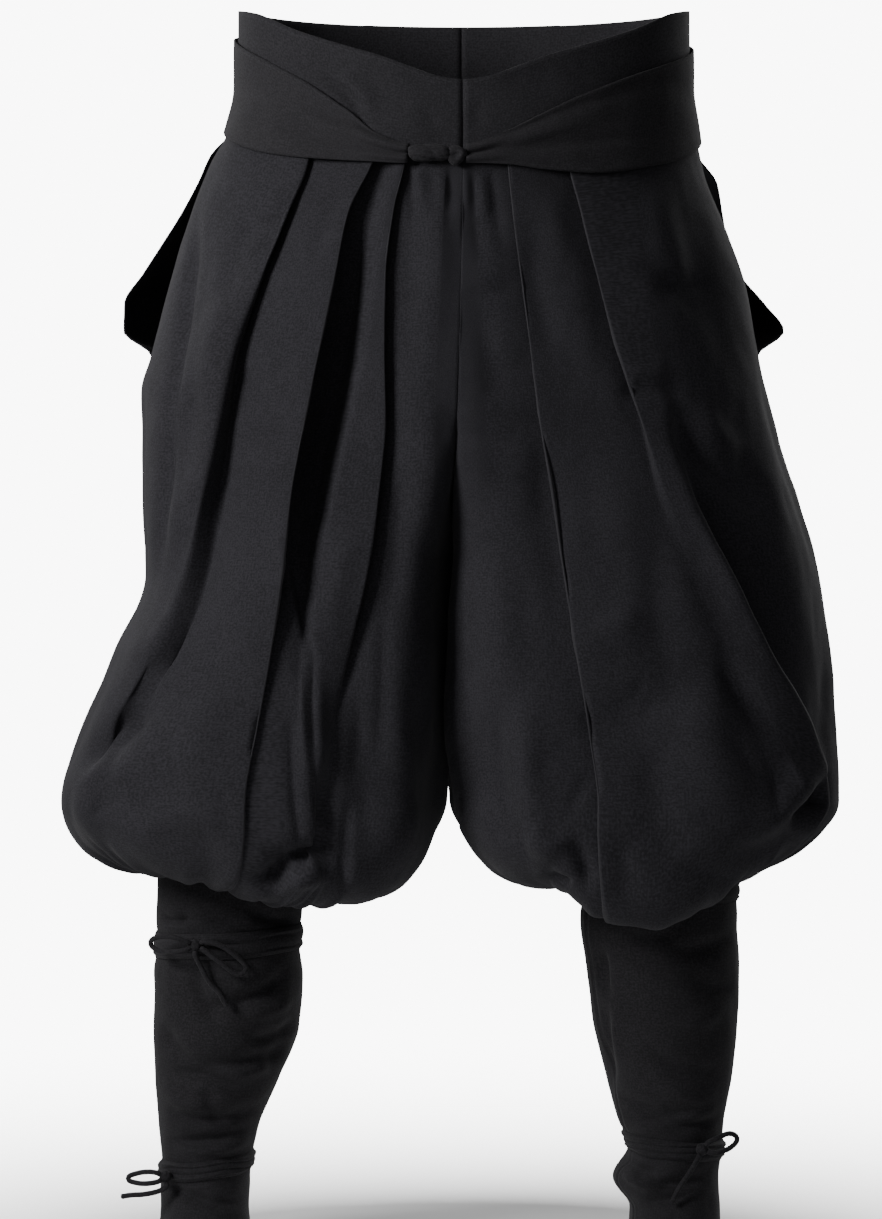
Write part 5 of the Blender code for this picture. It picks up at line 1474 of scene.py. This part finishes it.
# Floor and light: pale, soft, brighter from the viewer's left
stageLook = {"floor": (0.93, 0.93, 0.93), "size": 3.6, "solid": 0.25, "below": 0.0006,
             "roughness": 0.9, "sky": 0.055, "skyTint": (0.97, 0.98, 1.0), "background": 9.0}
lamps = {
    "key": {"place": (-1.36, -1.06, 0.32), "aim": (-0.10, 0.0, -0.42), "size": 0.6, "power": 25.5},
    "fill": {"place": (-0.5, -3.2, 0.5), "aim": (0.0, 0.0, -0.45), "size": 2.6, "power": 5.5},
    "rearLeft": {"place": (1.7, 2.6, 1.0), "aim": (0.0, 0.0, -0.45), "size": 2.2, "power": 50.0},
    "rearRight": {"place": (-1.9, 2.0, 1.0), "aim": (0.0, 0.0, -0.45), "size": 1.6, "power": 26.0},
    "side": {"place": (3.0, -0.3, 0.6), "aim": (0.0, 0.0, -0.45), "size": 2.0, "power": 6.0},
    "top": {"place": (-0.9, 0.5, 2.2), "aim": (0.0, 0.0, -0.3), "size": 2.0, "power": 6.0},
}


def addStage():
    ground = bmesh.new()
    bmesh.ops.create_grid(ground, x_segments=2, y_segments=2, size=stageLook["size"] / 2)
    mesh = bpy.data.meshes.new("floor")
    ground.to_mesh(mesh)
    ground.free()
    paint = bpy.data.materials.new("paleFloor")
    paint.use_nodes = True
    tree = paint.node_tree
    shader = tree.nodes["Principled BSDF"]
    setInputs(shader, Base_Color=(*stageLook["floor"], 1), Roughness=stageLook["roughness"])
    place = tree.nodes.new("ShaderNodeTexCoord").outputs["Object"]
    away = tree.nodes.new("ShaderNodeVectorMath")
    away.operation = "LENGTH"
    tree.links.new(place, away.inputs[0])
    edge = mathNode(tree, "SUBTRACT", away.outputs["Value"], stageLook["solid"])
    edge = mathNode(tree, "DIVIDE", edge, stageLook["size"] / 2 - stageLook["solid"])
    shown = mathNode(tree, "SUBTRACT", 1.0, mathNode(tree, "MAXIMUM", edge, 0.0))
    tree.links.new(mathNode(tree, "POWER", mathNode(tree, "MAXIMUM", shown, 0.0), 2.0),
                   shader.inputs["Alpha"])
    mesh.materials.append(paint)
    floor = bpy.data.objects.new("floor", mesh)
    floor.location = (0.0, 0.0, lowerLegs["hem"] - stageLook["below"])
    bpy.context.scene.collection.objects.link(floor)


def addLight():
    sky = bpy.data.worlds.new("studio")
    sky.use_nodes = True
    tree = sky.node_tree
    seen = tree.nodes.new("ShaderNodeLightPath")
    blend = tree.nodes.new("ShaderNodeMixShader")
    plain = tree.nodes.new("ShaderNodeBackground")
    soft = tree.nodes["Background"]
    setInputs(plain, Color=(1.0, 1.0, 1.0, 1.0), Strength=stageLook["background"])
    setInputs(soft, Color=(*stageLook["skyTint"], 1.0), Strength=stageLook["sky"])
    tree.links.new(seen.outputs["Is Camera Ray"], blend.inputs[0])
    tree.links.new(soft.outputs[0], blend.inputs[1])
    tree.links.new(plain.outputs[0], blend.inputs[2])
    tree.links.new(blend.outputs[0], tree.nodes["World Output"].inputs["Surface"])
    bpy.context.scene.world = sky
    for name, lamp in lamps.items():
        light = bpy.data.lights.new(name, "AREA")
        light.size = lamp["size"]
        light.energy = lamp["power"]
        holder = bpy.data.objects.new(name, light)
        holder.location = lamp["place"]
        aim = Vector(lamp["aim"]) - Vector(lamp["place"])
        holder.rotation_euler = aim.to_track_quat("-Z", "Y").to_euler()
        bpy.context.scene.collection.objects.link(holder)


addCamera()
for cordName in cords:
    addCord(cordName)
for wrapName in wraps:
    addWrap(wrapName)
for knotName in ("kneeKnotRight", "ankleKnotRight", "ankleKnotLeft"):
    addKnot(knotName, cordFinish)
for knotName in ("waistKnot", "waistKnotTip"):
    addKnot(knotName, tiePlainFinish)
print("cords, wound ties and knots made")
addLowerLegs()
addPanels()
addWaistbands()
addBackBoard()
addWaistTies()
addStage()
addLight()
print("floor and light made")
